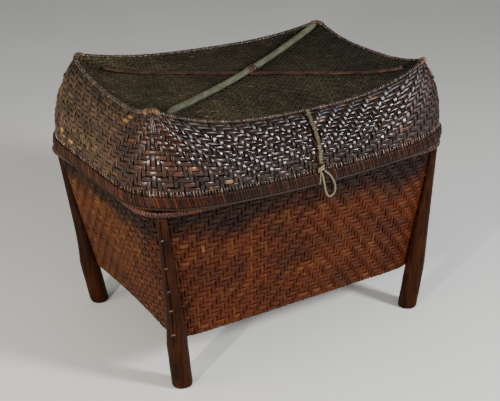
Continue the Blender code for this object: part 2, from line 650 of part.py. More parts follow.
def build_bars(olive_wood, cane, lid, top):
    """The round bar over the double flat bar, and the lashing where they cross."""
    flat_half = FLAT_BAR_GROOVE / 2 + FLAT_BAR_WIDTH
    run = rest_line(top, bar_end((-1, 1)), bar_end((1, -1)), flat_half, 11, False)
    aside = across_run(run)
    bevel = FLAT_BAR_THICKNESS / 3
    for name, way in (("crossbar_flat_front", -1), ("crossbar_flat_back", 1)):
        near, far = FLAT_BAR_GROOVE / 2, FLAT_BAR_GROOVE / 2 + FLAT_BAR_WIDTH
        strip = ((near, 0.0), (far, 0.0), (far, FLAT_BAR_THICKNESS - bevel),
                 (far - bevel, FLAT_BAR_THICKNESS), (near + bevel, FLAT_BAR_THICKNESS),
                 (near, FLAT_BAR_THICKNESS - bevel))
        turn = way if aside[0][1] > 0 else -way
        sections = [[run[k] + aside[k] * side * turn + (0.0, 0.0, up) for side, up in strip]
                    for k in range(len(run))]
        loft_solid(name, sections, cane, lid)

    spine = rest_line(top, bar_end((-1, -1)), bar_end((1, 1)), ROUND_BAR_WIDTH / 2, 9, True)
    middle = len(spine) // 2
    crossing = run[len(run) // 2][2] + FLAT_BAR_THICKNESS + FIT_GAP
    bow = 1.0 - np.linspace(-1.0, 1.0, len(spine)) ** 2
    spine[:, 2] += (crossing - spine[middle, 2]) * bow
    aside = across_run(spine)
    profile = half_round(ROUND_BAR_WIDTH, ROUND_BAR_HEIGHT)
    sections = [[spine[k] + aside[k] * side + (0.0, 0.0, up) for side, up in profile]
                for k in range(len(spine))]
    loft_solid("crossbar_round", sections, olive_wood, lid)

    way = spine[middle + 1] - spine[middle]
    way /= np.linalg.norm(way)
    inner = half_round(ROUND_BAR_WIDTH + 2 * FIT_GAP, ROUND_BAR_HEIGHT + FIT_GAP)[1:-1]
    outer = half_round(ROUND_BAR_WIDTH + 2 * (FIT_GAP + CROSSING_THICKNESS),
                       ROUND_BAR_HEIGHT + FIT_GAP + CROSSING_THICKNESS)[1:-1]
    feet = [(inner[-1][0], 0.0), (inner[0][0], 0.0)]
    strap = [(outer[0][0], 0.0), *outer, (outer[-1][0], 0.0), feet[0], *inner[::-1], feet[1]]
    sections = []
    side_way = across_run(spine)[middle]
    for share in (-0.5, -0.3, -0.1, 0.1, 0.3, 0.5):
        at = spine[middle] + way * CROSSING_LENGTH * share
        sections.append([at + side_way * side + (0.0, 0.0, up) for side, up in strap])
    loft_solid("crossing_lashing", sections, cane, lid)


def edge_run(signs, half_length, stations):
    """Places along the edge cane on both sides of a corner, with outward directions."""
    place = corner_index(signs)
    order = [(place + k) % RING_COUNT for k in range(-CORNER_INDEX, CORNER_INDEX + 1)]
    line, out = EDGE[order], mitres(EDGE[:, :2])[order]
    length = np.concatenate([[0.0], np.cumsum(np.linalg.norm(np.diff(line, axis=0), axis=1))])
    at = length[CORNER_INDEX] + np.linspace(-half_length, half_length, stations)
    kept = sorted({*at, *(v for v in length if at[0] < v < at[-1])})
    spot = np.stack([np.interp(kept, length, line[:, k]) for k in range(3)], 1)
    way = np.stack([np.interp(kept, length, out[:, k]) for k in range(2)], 1)
    return spot, way


def build_peak_lashings(cane, lid):
    """Ribbed wraps over the edge cane at each raised corner, from the wall up over to the top."""
    inner = CANE_REACH + FIT_GAP
    outer, back = lid_faces()
    hung = (outer[-1] + back[-1]) / 2 - EDGE
    out = mitres(EDGE[:, :2])
    out /= np.linalg.norm(out, axis=1)[:, None]
    wall_turn = np.arctan2(hung[:, 2], (hung[:, :2] * out).sum(1))
    wall_turn += math.asin((LID_WALL / 2 + FIT_GAP) / inner)
    for place_name, signs in CORNERS.items():
        place = corner_index(signs)
        start = wall_turn[[place - 1, place, place + 1]].max()
        turns = np.linspace(start, math.radians(LASHING_END_TURN), 7)
        spot, way = edge_run(signs, PEAK_LASHING_HALF_LENGTH, 9)
        sections = []
        for k, (at, out) in enumerate(zip(spot, way)):
            outer = inner + PEAK_LASHING_THICKNESS + (PEAK_LASHING_RIB if k % 2 else 0.0)
            arc = [(outer * math.cos(a), outer * math.sin(a)) for a in turns]
            arc += [(inner * math.cos(a), inner * math.sin(a)) for a in turns[::-1]]
            sections.append([at + (out[0] * o, out[1] * o, up) for o, up in arc])
        loft_solid("peak_lashing_" + place_name, sections, cane, lid)


def smooth_run(points, count):
    """Even places on a smooth curve through the given points."""
    points = np.asarray(points, float)
    length = np.concatenate([[0.0], np.cumsum(np.linalg.norm(np.diff(points, axis=0), axis=1))])
    slope = np.gradient(points, length, axis=0)
    fine = np.linspace(0.0, length[-1], 40 * len(points))
    at = np.clip(np.searchsorted(length, fine, side="right") - 1, 0, len(points) - 2)
    step = (length[at + 1] - length[at])[:, None]
    s = (fine - length[at])[:, None] / step
    curve = ((2 * s ** 3 - 3 * s ** 2 + 1) * points[at] + (s ** 3 - 2 * s ** 2 + s) * step * slope[at]
             + (3 * s ** 2 - 2 * s ** 3) * points[at + 1] + (s ** 3 - s ** 2) * step * slope[at + 1])
    far = np.concatenate([[0.0], np.cumsum(np.linalg.norm(np.diff(curve, axis=0), axis=1))])
    even = np.linspace(0.0, far[-1], count)
    return np.stack([np.interp(even, far, line) for line in curve.T], 1)


def cord_curve(name, points, diameter, material, carrier):
    """A round cord along its points, with closed ends."""
    data = bpy.data.curves.new(name, "CURVE")
    data.dimensions = "3D"
    data.bevel_depth = diameter / 2
    data.bevel_resolution = 2
    data.use_fill_caps = True
    line = data.splines.new("POLY")
    line.points.add(len(points) - 1)
    for spot, place in zip(line.points, points):
        spot.co = (*place, 1.0)
    data.materials.append(material)
    cord = bpy.data.objects.new(name, data)
    bpy.context.collection.objects.link(cord)
    cord.parent = carrier
    cord.matrix_parent_inverse = carrier.matrix_world.inverted()
    return cord


def front_profile(wall):
    """Close places down the lid's front, met by rays cast straight back: (forward, height)."""
    front = 3 * QUARTER
    places = []
    for height in np.linspace(EDGE[front][2], rim_line()[front], PROFILE_PLACES):
        met = [wall.ray_cast((side, -LEDGE_HALF_LENGTH, height), (0.0, 1.0, 0.0))[0]
               for side in (-CORD_DIAMETER / 2, 0.0, CORD_DIAMETER / 2)]
        ahead = [-spot[1] for spot in met if spot and spot[1] < 0.0]
        if ahead:
            places.append((max(ahead), height))
    return np.array(places)


def knot_place(wall):
    """Middle of the cord's end in the knot, which lies on the wall just above the rim."""
    low = rim_line()[3 * QUARTER] + RIM_HEIGHT + FIT_GAP
    rising = wall[np.argsort(wall[:, 1])]
    forward = np.interp(low, rising[:, 1], rising[:, 0]) + FIT_GAP + CORD_DIAMETER / 2
    return np.array([0.0, -forward, low + KNOT_HEIGHT / 2])


def clear_of(points, others, reach):
    """Which of the points are at least a reach away from all the others."""
    apart = np.linalg.norm(points[:, None] - others[None], axis=2).min(1)
    return apart > reach


def kept_off(points, others, reach):
    """The points, those too near any of the others moved straight away from it to the reach."""
    apart = points[:, None] - others[None]
    near = np.linalg.norm(apart, axis=2)
    rows, closest = np.arange(len(points)), near.argmin(1)
    grown = np.maximum(1.0, reach / near[rows, closest])
    return others[closest] + apart[rows, closest] * grown[:, None]


def build_closure(straw, lid, top, side):
    """The bound cord down the lid's front, its knot, and the loop that swings from the knot."""
    wall = front_profile(side)
    cane = np.array((-EDGE[3 * QUARTER][1], EDGE[3 * QUARTER][2]))
    hold = CORD_DIAMETER / 2 + 2 * FIT_GAP
    over = CANE_REACH + hold
    route = []
    for forward in (cane[0] - CORD_TUCK - over, cane[0] - CORD_TUCK / 2 - over):
        laid_on = [top.ray_cast((side, -forward, 1.0), (0.0, 0.0, -1.0))[0][2]
                   for side in (-CORD_DIAMETER / 2, 0.0, CORD_DIAMETER / 2)]
        route.append((forward, max(laid_on) + hold))
    turns = np.radians(np.arange(105.0, -60.0, -15.0))
    arc = cane + over * np.stack([np.cos(turns), np.sin(turns)], 1)
    route += [tuple(p) for p in arc[np.logical_and.accumulate(clear_of(arc, wall, hold))]]
    slope = np.gradient(wall, axis=0)
    slope /= np.linalg.norm(slope, axis=1)[:, None]
    laid = wall + np.stack([-slope[:, 1], slope[:, 0]], 1) * hold
    knot = knot_place(wall)
    knot_top = knot[2] + KNOT_HEIGHT / 2 + FIT_GAP
    laid = laid[clear_of(laid, cane[None], over) & (laid[:, 1] > knot_top + CORD_DIAMETER)]
    route += [tuple(p) for p in laid[::LAID_STEP]]
    route.append((-knot[1], knot_top))
    run = smooth_run(route, 34)
    run = kept_off(kept_off(run, wall, hold - FIT_GAP), cane[None], over - FIT_GAP)
    line = [(0.0, -out, up) for out, up in run]
    cord_curve("closure_cord", line, CORD_DIAMETER, straw, lid)

    mesh = bpy.data.meshes.new("closure_knot")
    shape = bmesh.new()
    bmesh.ops.create_icosphere(shape, subdivisions=2, radius=0.5)
    lump = np.array((KNOT_WIDTH, KNOT_DEPTH, KNOT_HEIGHT))
    bmesh.ops.scale(shape, vec=lump, verts=shape.verts)
    bmesh.ops.translate(shape, vec=knot + (0.0, -(KNOT_DEPTH - CORD_DIAMETER) / 2, 0.0),
                        verts=shape.verts)
    shape.to_mesh(mesh)
    shape.free()
    mesh.shade_smooth()
    mesh.materials.append(straw)
    tied = bpy.data.objects.new("closure_knot", mesh)
    bpy.context.collection.objects.link(tied)
    tied.parent = lid
    tied.matrix_parent_inverse = lid.matrix_world.inverted()

    pivot = add_carrier("loop_pivot", knot + (0.0, -(KNOT_DEPTH - CORD_DIAMETER) / 2, 0.0))
    pivot.parent = lid
    pivot.matrix_parent_inverse = lid.matrix_world.inverted()
    bpy.context.view_layer.update()
    spot = np.array(pivot.matrix_world.translation)
    points = [spot + (across, -out, up) for across, out, up in LOOP_ROUTE]
    cord_curve("closure_loop", smooth_run(points, 34), LOOP_DIAMETER, straw, pivot)


def main():
    """Build the basket: the standing body, then the lid and what rides on it."""
    clear_scene()
    body_cane = finish("body_cane", (0.115, 0.045, 0.020), 0.45)
    lid_cane = finish("lid_cane", (0.045, 0.030, 0.022), 0.35)
    hoop_cane = finish("hoop_cane", (0.060, 0.030, 0.018), 0.40)
    stake_wood = finish("stake_wood", (0.045, 0.018, 0.012), 0.40)
    bar_wood = finish("bar_wood", (0.100, 0.088, 0.060), 0.50)
    straw = finish("straw_cord", (0.480, 0.370, 0.220), 0.80)
    build_body(body_cane, hoop_cane)
    build_stakes(stake_wood)
    lid = add_carrier("lid_carrier", (0.0, 0.0, MOUTH_HEIGHT + FIT_GAP))
    top, side = build_lid(lid_cane, hoop_cane, lid)
    build_bars(bar_wood, hoop_cane, lid, top)
    build_peak_lashings(hoop_cane, lid)
    build_closure(straw, lid, top, side)


main()
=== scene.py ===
import math

import bmesh
import bpy
import numpy as np
from mathutils import Matrix


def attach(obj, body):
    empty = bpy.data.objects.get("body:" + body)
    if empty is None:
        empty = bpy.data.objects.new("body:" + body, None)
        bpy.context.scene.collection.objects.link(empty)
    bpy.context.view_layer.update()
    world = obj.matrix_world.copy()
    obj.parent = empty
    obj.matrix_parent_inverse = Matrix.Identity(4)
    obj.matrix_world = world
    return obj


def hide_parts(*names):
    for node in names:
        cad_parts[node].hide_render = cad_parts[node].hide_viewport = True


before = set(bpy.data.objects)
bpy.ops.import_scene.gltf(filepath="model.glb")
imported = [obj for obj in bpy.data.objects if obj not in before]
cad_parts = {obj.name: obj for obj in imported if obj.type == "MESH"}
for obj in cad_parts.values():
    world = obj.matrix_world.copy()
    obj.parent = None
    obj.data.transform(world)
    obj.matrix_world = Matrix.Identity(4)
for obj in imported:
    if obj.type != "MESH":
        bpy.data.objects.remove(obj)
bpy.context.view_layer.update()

bl_info = {
    "name": "Plaited Lidded Basket",
    "version": (1, 0, 0),
    "blender": (4, 5, 0),
    "location": "View3D > Sidebar > Basket",
    "description": "Plaits, lashes and finishes the basket round its solids",
    "category": "Object",
}

# The form of the solids, in metres
PEAK_HEIGHT = 0.456
BASE_HEIGHT = 0.081
LEDGE_HEIGHT = 0.3062
BASE_HALF = (0.2385, 0.161)
LEDGE_HALF = (0.2775, 0.1825)
PEAK_HALF = (0.2466, 0.1531)
FIT_GAP = 0.0003
SEAT_GAP = 0.0005
BODY_WALL = 0.0045
BASE_THICKNESS = 0.0045
LID_WALL = 0.0038
TOP_THICKNESS = 0.003
LID_PLAY = 0.003
NECK_CLEARANCE = 0.0085
BASE_ARCH = 0.009
BASE_POWER, LEDGE_POWER, LID_POWER, PEAK_POWER = 14, 9, 6, 20
CORNER_STRAY = 0.018
LEDGE_STRAY_SHARES = {(-1, 1): (-1.0, 0.0, 0.0)}
LID_STRAY_SHARES = {(-1, 1): (-0.33, 0.0, 0.0), (1, -1): (-0.33, 0.0, 0.0)}
STRAY_POWER = 6
LEDGE_HOOP_THICKNESS, LEDGE_HOOP_HEIGHT = 0.0085, 0.011
NECK_RISE = 0.0008
MOUTH_SHARE, MOUTH_HOOP_SHARE = 0.4277, 0.304
MOUTH_HOOP_THICKNESS = 0.0035
RIM_CORNER_RISE = 0.0093
RIM_SAG_LONG, RIM_SAG_SHORT = 0.0125, 0.002
RIM_ROD, RIM_BAND_WIDTH, RIM_BAND_THICKNESS, RIM_CORD = 0.004, 0.012, 0.0055, 0.004
STOP_HOOP_HEIGHT = 0.006
EDGE_CANE = 0.007
EDGE_SAG_SHARES = {"front": 0.285, "back": 0.1435, "left": 0.1342, "right": 0.1368}
TOP_HOLLOW_SHARE = 0.1802
PEAK_STRAY = 0.012
PEAK_STRAY_SHARES = {(-1, -1): (-1.0, 0.1, 0.0), (-1, 1): (0.4, 0.8, 0.5),
                     (1, 1): (-0.4, -0.4, 0.0), (1, -1): (-0.5, -0.6, -0.1)}
SHOULDER_POWER, EDGE_SAG_POWER, PEAK_RISE_POWER, PANEL_RISE_POWER = 2.6, 2.8, 10, 2
POST_RADIUS = 0.0165
FOOT_HALF = (0.2285, 0.159)
STAKE_TOP_REACH = 0.0062
STAKE_TAPER_SHARES = ((0.0, 1.0), (0.15, 0.88), (0.34, 0.75), (0.56, 0.65), (0.78, 0.57),
                      (1.0, 0.5))
BATTEN_SHARE = 0.4
BAR_END_SHARES = {(-1, -1): 0.87, (1, 1): 0.97, (-1, 1): 0.87, (1, -1): 0.9}
ROUND_BAR_WIDTH, ROUND_BAR_HEIGHT = 0.0115, 0.0075
FLAT_BAR_WIDTH, FLAT_BAR_THICKNESS, FLAT_BAR_GROOVE = 0.0048, 0.0032, 0.0008
CORD_DIAMETER, LOOP_DIAMETER = 0.0066, 0.0034
CORNERS = {"front_left": (-1, -1), "back_left": (-1, 1), "back_right": (1, 1),
           "front_right": (1, -1)}

# Places in each plan ring, anticlockwise from the right side's middle, and its corner tips
FINE = 16
SHORT, LONG = 5 * FINE, 7 * FINE
QUARTER = SHORT + LONG
COUNT = 4 * QUARTER
TIPS = {(1, 1): SHORT, (-1, 1): 2 * QUARTER - SHORT, (-1, -1): 2 * QUARTER + SHORT,
        (1, -1): 4 * QUARTER - SHORT}

LID_RISE = PEAK_HEIGHT - LEDGE_HEIGHT
EDGE_SAGS = {side: share * LID_RISE for side, share in EDGE_SAG_SHARES.items()}
TOP_HOLLOW = TOP_HOLLOW_SHARE * LID_RISE
RIM_CORNER_HEIGHT = LEDGE_HEIGHT + RIM_CORNER_RISE
MOUTH_HEIGHT = LEDGE_HEIGHT + (LID_RISE - EDGE_SAGS["front"]) * MOUTH_SHARE
LID_REACH = LEDGE_HOOP_THICKNESS + FIT_GAP + LID_PLAY
MOUTH_REACH = NECK_CLEARANCE + MOUTH_HOOP_THICKNESS + FIT_GAP
BAND_REACH = LID_WALL + FIT_GAP
RIM_REACH = BAND_REACH + RIM_BAND_THICKNESS
RIM_HEIGHT = RIM_ROD + FIT_GAP + RIM_BAND_WIDTH + FIT_GAP + RIM_CORD
NECK_HEIGHT = LEDGE_HEIGHT + LEDGE_HOOP_HEIGHT / 2 + NECK_RISE
MOUTH_HOOP_WIDTH = (MOUTH_HEIGHT - NECK_HEIGHT) * MOUTH_HOOP_SHARE
HOLD = EDGE_CANE / 2 / math.cos(math.pi / 8) + FIT_GAP

# What the solids leave out: measures in metres, counts, and the angle of a sharp edge
BASE_ROWS, BASE_STAKES, BASE_STRIP, TOP_STRIP = 36, 52, 0.0016, 0.0012
EDGE_CORE = EDGE_CANE / 2 - 0.0009
EDGE_WRAPPED = EDGE_CANE / 2 + 0.0009
PEAK_WRAP_REACH, PEAK_TIE_REACH = 0.0145, 0.011
PEAK_STRAND_REACH, PEAK_STRAND_SHIFT = 0.0065, 0.0035
CROSSING_REACH = 0.0095
CORD_CORE = CORD_DIAMETER - 0.0026
BINDING_PITCH, LOOP_PITCH = 0.0036, 0.008
SPLIT_GAP = 0.0005
STAKE_SIDES = 48
STAKE_STITCHES = 6
BAR_PLACES = 61
KNOT_PLACES = 120
CREASE_DEGREES = 42
PLIES = 2


def unit(vectors):
    """Vectors divided by their lengths."""
    return vectors / np.linalg.norm(vectors, axis=-1, keepdims=True)


def run_length(points):
    """Length along a line of places, from nil at its first."""
    return np.concatenate([[0.0], np.cumsum(np.linalg.norm(np.diff(points, axis=0), axis=1))])


def angles(count):
    """Even angles round one whole turn."""
    return np.arange(count) * 2.0 * np.pi / count


# Plan rings, the same as the solids' but with more places

def half_side(half_run, half_reach, power, steps):
    """Half a side of reach = half_reach (1 - run^power)^(1 / power), closer where it turns."""
    run = np.linspace(0.0, 0.5 ** (1.0 / power), 400)
    reach = (1.0 - run ** power) ** (1.0 / power)
    step = np.stack([np.diff(run) * half_run, np.diff(reach) * half_reach])
    length = np.cumsum(np.hypot(*step))
    turn = np.cumsum(np.abs(np.diff(np.arctan2(step[1], step[0]), prepend=0.0)))
    progress = np.concatenate([[0.0], length / length[-1] + turn / turn[-1]])
    at = np.interp(np.linspace(0.0, progress[-1], steps + 1), progress, run)
    return at * half_run, (1.0 - at ** power) ** (1.0 / power) * half_reach


def outline(half, power):
    """A rounded rectangle of that superellipse, anticlockwise from the right side's middle."""
    up, right = half_side(half[1], half[0], power, SHORT)
    back, top = half_side(half[0], half[1], power, LONG)
    quarter = np.concatenate([np.stack([right, up], 1), np.stack([back, top], 1)[::-1][1:]])
    turned = quarter[::-1] * (-1, 1)
    return np.concatenate([quarter[:-1], turned[:-1], -quarter[:-1], -turned[:-1]])


def mitres(ring):
    """Outward unit directions of a ring, square to the chord between each place's neighbours."""
    side = np.roll(ring, -1, 0) - np.roll(ring, 1, 0)
    return unit(np.stack([side[:, 1], -side[:, 0]], 1))


def strays(ring, shares, amount, power):
    """How far each place strays with the corners near it: a product of shares to a power."""
    across, back = np.clip(ring / np.abs(ring[SHORT]), -1.0, 1.0).T
    moved = np.zeros((len(ring), 3))
    for (right, rear), way in shares.items():
        weight = ((1.0 + right * across) * (1.0 + rear * back) / 4.0) ** power
        moved += weight[:, None] * np.array(way) * amount
    return moved


def side_shares(ring):
    """How far each place is from the middle of its side, and whether that side is a short one."""
    share = np.abs(ring) / np.abs(ring[SHORT])
    on_short = share[:, 0] >= share[:, 1]
    return np.clip(np.where(on_short, share[:, 1], share[:, 0]), 0.0, 1.0), on_short


def at_height(ring, height):
    """A plan ring lifted to one height, or to a height for each place."""
    return np.column_stack([ring, np.broadcast_to(height, len(ring))])


BASE_RING = outline(BASE_HALF, BASE_POWER)
LEDGE_RING = outline(LEDGE_HALF, LEDGE_POWER)
LEDGE_RING = LEDGE_RING + strays(LEDGE_RING, LEDGE_STRAY_SHARES, CORNER_STRAY, STRAY_POWER)[:, :2]
TRUE_LID_RING = outline((LEDGE_HALF[0] + LID_REACH, LEDGE_HALF[1] + LID_REACH), LID_POWER)
LID_STRAY = strays(TRUE_LID_RING, LID_STRAY_SHARES, CORNER_STRAY, STRAY_POWER)
LID_RING = TRUE_LID_RING + LID_STRAY[:, :2]
MOUTH_RING = LID_RING - mitres(LID_RING) * MOUTH_REACH
PEAK_RING = outline(PEAK_HALF, PEAK_POWER)


def base_rise(points):
    """Arch of the underside: across^2 (1 - along^2), nil at the corners."""
    across = np.abs(points[..., 0]) / BASE_HALF[0]
    along = np.abs(points[..., 1]) / BASE_HALF[1]
    return BASE_ARCH * across ** 2 * np.clip(1.0 - along ** 2, 0.0, 1.0)


def body_ring(height):
    """Outer line of the body at a height: it flares to the ledge, steps in and runs upright."""
    if height <= LEDGE_HEIGHT:
        share = (height - BASE_HEIGHT) / (LEDGE_HEIGHT - BASE_HEIGHT)
        return BASE_RING + (LEDGE_RING - BASE_RING) * share
    share = min(1.0, (height - LEDGE_HEIGHT) / (NECK_HEIGHT - LEDGE_HEIGHT))
    return LEDGE_RING + (MOUTH_RING - LEDGE_RING) * share


def peak_edge():
    """Centre line of the edge cane: each side falls by its sag times 1 - share^power."""
    share, on_short = side_shares(PEAK_RING)
    sag = np.where(on_short, np.where(PEAK_RING[:, 0] > 0, EDGE_SAGS["right"], EDGE_SAGS["left"]),
                   np.where(PEAK_RING[:, 1] > 0, EDGE_SAGS["back"], EDGE_SAGS["front"]))
    drop = sag * (1.0 - share ** EDGE_SAG_POWER)
    stray = strays(PEAK_RING, PEAK_STRAY_SHARES, PEAK_STRAY, 1)
    return at_height(PEAK_RING, PEAK_HEIGHT - EDGE_CANE / 2 - drop) + stray, drop, stray[:, 2]


EDGE, EDGE_DROP, EDGE_LIFT = peak_edge()
INSIDE = EDGE[:, :2] - mitres(EDGE[:, :2]) * HOLD


def rim_line():
    """Height of the rim's lower line, lowest at the middles of the sides."""
    share, on_short = side_shares(TRUE_LID_RING)
    sag = np.where(on_short, RIM_SAG_SHORT, RIM_SAG_LONG) * (1.0 - share ** 2)
    return RIM_CORNER_HEIGHT - sag + LID_STRAY[:, 2]


def panel_height(share, drop, lift):
    """Height of the top: the hollow at its middle, easing to the edge's own drop by a power."""
    sharp = np.clip(1.0 - drop / TOP_HOLLOW, 0.0, 1.0)
    power = PANEL_RISE_POWER + (PEAK_RISE_POWER - PANEL_RISE_POWER) * sharp
    fallen = TOP_HOLLOW + (drop - TOP_HOLLOW) * share ** power
    return PEAK_HEIGHT - EDGE_CANE / 2 - fallen + lift * share ** power


# Surface grids: rows of places, read between their places by shares of the way across and up

def even_columns(grid, row=0):
    """The grid with its columns spread evenly along one of its rows."""
    wide = np.concatenate([grid, grid[:, :1]], 1)
    length = run_length(wide[row])
    at = np.interp(np.arange(COUNT) / COUNT * length[-1], length, np.arange(len(length)))
    low = at.astype(int)
    part = (at - low)[None, :, None]
    return wide[:, low] * (1.0 - part) + wide[:, low + 1] * part


def spaced_rows(shares, rows, closing):
    """Shares whose places in a skin of rows draw closer up it: length = t + closing (t - t^2)."""
    length = np.linalg.norm(np.diff(rows, axis=0), axis=2).mean(1)
    length = np.concatenate([[0.0], np.cumsum(length)])
    t = np.linspace(0.0, 1.0, len(shares))
    return np.interp((t + closing * (t - t ** 2)) * length[-1], length, shares)


def reader(grid, round_u=True, round_v=False):
    """A function of shares u and v: the place on the grid and its outward normal, both blended
    from the four grid places round it. The normal is the cross product of the grid's two runs."""
    grid = np.asarray(grid, float)

    def runs(axis, is_round):
        if is_round:
            return np.roll(grid, -1, axis) - np.roll(grid, 1, axis)
        return np.gradient(grid, axis=axis)

    normal = np.cross(runs(1, round_u), runs(0, round_v))
    normal /= np.maximum(np.linalg.norm(normal, axis=2), 1e-12)[..., None]
    both = np.concatenate([grid, normal], 2)
    rows, columns = grid.shape[:2]

    def split(share, count, is_round):
        at = share * count if is_round else np.clip(share, 0.0, 1.0) * (count - 1)
        low = np.floor(at).astype(int)
        if not is_round:
            low = np.minimum(low, count - 2)
        return low % count, (low + 1) % count, (at - low)[..., None]

    def read(u, v):
        u, v = np.broadcast_arrays(np.asarray(u, float), np.asarray(v, float))
        left, right, p = split(u, columns, round_u)
        low, high, q = split(v, rows, round_v)
        found = ((both[low, left] * (1 - p) + both[low, right] * p) * (1 - q)
                 + (both[high, left] * (1 - p) + both[high, right] * p) * q)
        return found[..., :3], found[..., 3:]

    return read


def body_skin(inset, levels=48):
    """The body's wall from its foot to its mouth, moved in along the plan by an inset."""
    heights = np.concatenate([np.linspace(BASE_HEIGHT, LEDGE_HEIGHT, levels),
                              np.linspace(LEDGE_HEIGHT, MOUTH_HEIGHT, levels // 3)[1:]])
    rows = []
    for height in heights:
        ring = body_ring(height)
        fade = np.clip((LEDGE_HEIGHT - height) / (LEDGE_HEIGHT - BASE_HEIGHT), 0.0, 1.0)
        rows.append(at_height(ring - mitres(ring) * inset, height + base_rise(BASE_RING) * fade))
    return even_columns(np.array(rows), levels - 1)


def lid_rows(shares, inset=0.0):
    """The lid's wall: plan = low + (edge - low) share^power, height rising evenly with share.
    Shares under nil are the upright stretch behind the rim."""
    low = LID_RING + mitres(LID_RING) * LID_WALL
    start = rim_line() + RIM_HEIGHT
    rows = []
    for share in shares:
        rise = max(share, 0.0)
        plan = low + (EDGE[:, :2] - low) * rise ** SHOULDER_POWER
        height = start + (EDGE[:, 2] - start) * rise + min(share, 0.0) * RIM_HEIGHT
        rows.append(at_height(plan, height))
    rows = np.array(rows)
    if inset:
        along = np.roll(rows, -1, 1) - np.roll(rows, 1, 1)
        rows = rows - unit(np.cross(along, np.gradient(rows, axis=0))) * inset
    return rows


def lid_skin(inset, levels=64, top=0.985):
    """The lid's wall with rows closer toward its top and columns even along the rim."""
    shares = np.concatenate([np.linspace(-1.0, 0.0, 9)[:-1], np.linspace(0.0, top, levels)])
    shares = spaced_rows(shares, lid_rows(shares), 0.14)
    return even_columns(lid_rows(shares, inset))


def square_turn(x, y):
    """Distance round a square of half side 1, from the middle of its right side, in 0 to 8."""
    sideways = np.abs(x) >= np.abs(y)
    turn = np.where(sideways, np.where(x > 0, y, 4.0 - y), np.where(y > 0, 2.0 - x, 6.0 + x))
    return turn % 8.0


def panel_grid(plan_ring, ring, height, columns, rows):
    """A surface over a plan: each place lies on the ray from the middle to the ring, at the
    larger of its two shares of the way out. Its height is a function of that share, of the place
    in plan, and of a blend of values that belong to the ring's own places."""
    x, y = np.meshgrid(np.linspace(-1.0, 1.0, columns), np.linspace(-1.0, 1.0, rows))
    out = np.maximum(np.maximum(np.abs(x), np.abs(y)), 1e-6)
    share = np.clip(plan_ring / np.abs(plan_ring[SHORT]), -1.0, 1.0)
    places = square_turn(share[:, 0], share[:, 1])
    at = np.interp(square_turn(x / out, y / out), np.append(places, 8.0), np.arange(COUNT + 1))
    low = at.astype(int)
    part = at - low

    def blend(values):
        share = part.reshape(part.shape + (1,) * (values.ndim - 1))
        return values[low % COUNT] * (1 - share) + values[(low + 1) % COUNT] * share

    plan = blend(ring)[..., :2] * out[..., None]
    return np.concatenate([plan, height(out, plan, blend)[..., None]], 2)


def top_skin(lift=0.0):
    """The lid's hollow top as a grid, raised by a lift."""
    def height(out, plan, blend):
        return panel_height(out, blend(EDGE_DROP), blend(EDGE_LIFT)) + lift

    return panel_grid(PEAK_RING, INSIDE, height, 241, 161)


def hoop_grid(ring, outward, height, section):
    """A hoop beside a ring: rows are the places of its section, as (outward, up) steps."""
    direction = mitres(ring)
    return np.array([at_height(ring + direction * (outward + out), height + up)
                     for out, up in section])


def even_hoop(ring, outward, height, section):
    """A hoop with its columns spread evenly."""
    return even_columns(hoop_grid(ring, outward, height, section))


def oval(width, height, count):
    """Places round an ellipse, as (outward, up)."""
    turn = angles(count)
    return np.stack([width / 2 * np.cos(turn), height / 2 * np.sin(turn)], 1)


def rounded_block(width, height, radius, per_corner=4):
    """A block's section with round corners, from its inner lower corner outward and up."""
    turn = np.linspace(0.0, np.pi / 2, per_corner)
    far, high = width - radius, height - radius
    centres = ((radius, radius), (far, radius), (far, high), (radius, high))
    return np.concatenate([
        np.stack([x + radius * np.cos(start + turn), y + radius * np.sin(start + turn)], 1)
        for start, (x, y) in zip((-np.pi, -np.pi / 2, 0.0, np.pi / 2), centres)])


def carried(path, side, up, section):
    """Sections set along a path as steps sideways and up: rows go along it, columns round it."""
    return path[:, None] + side[:, None] * section[..., :1] + up[:, None] * section[..., 1:]


def tube_grid(path, side, section):
    """A section carried along a path. Its sideways direction is the rough one given, made square
    to the path's run, and its upward one is run x sideways. Section is (places, 2), or
    (rows, places, 2)."""
    run = unit(np.gradient(path, axis=0))
    side = np.broadcast_to(np.asarray(side, float), path.shape)
    side = unit(side - run * (side * run).sum(1)[:, None])
    section = np.broadcast_to(section, (len(path), *np.shape(section)[-2:]))
    return carried(path, side, np.cross(run, side), section)


# Meshes

def quads_of(rows, columns, round_rows, round_columns):
    """Four corners of each cell of a grid of rows and columns of points."""
    a = np.arange(rows if round_rows else rows - 1)[:, None]
    b = np.arange(columns if round_columns else columns - 1)[None]
    c, d = (a + 1) % rows, (b + 1) % columns
    corners = (a * columns + b, a * columns + d, c * columns + d, c * columns + b)
    return np.stack(corners, -1).reshape(-1, 4)


FINISHES = {}


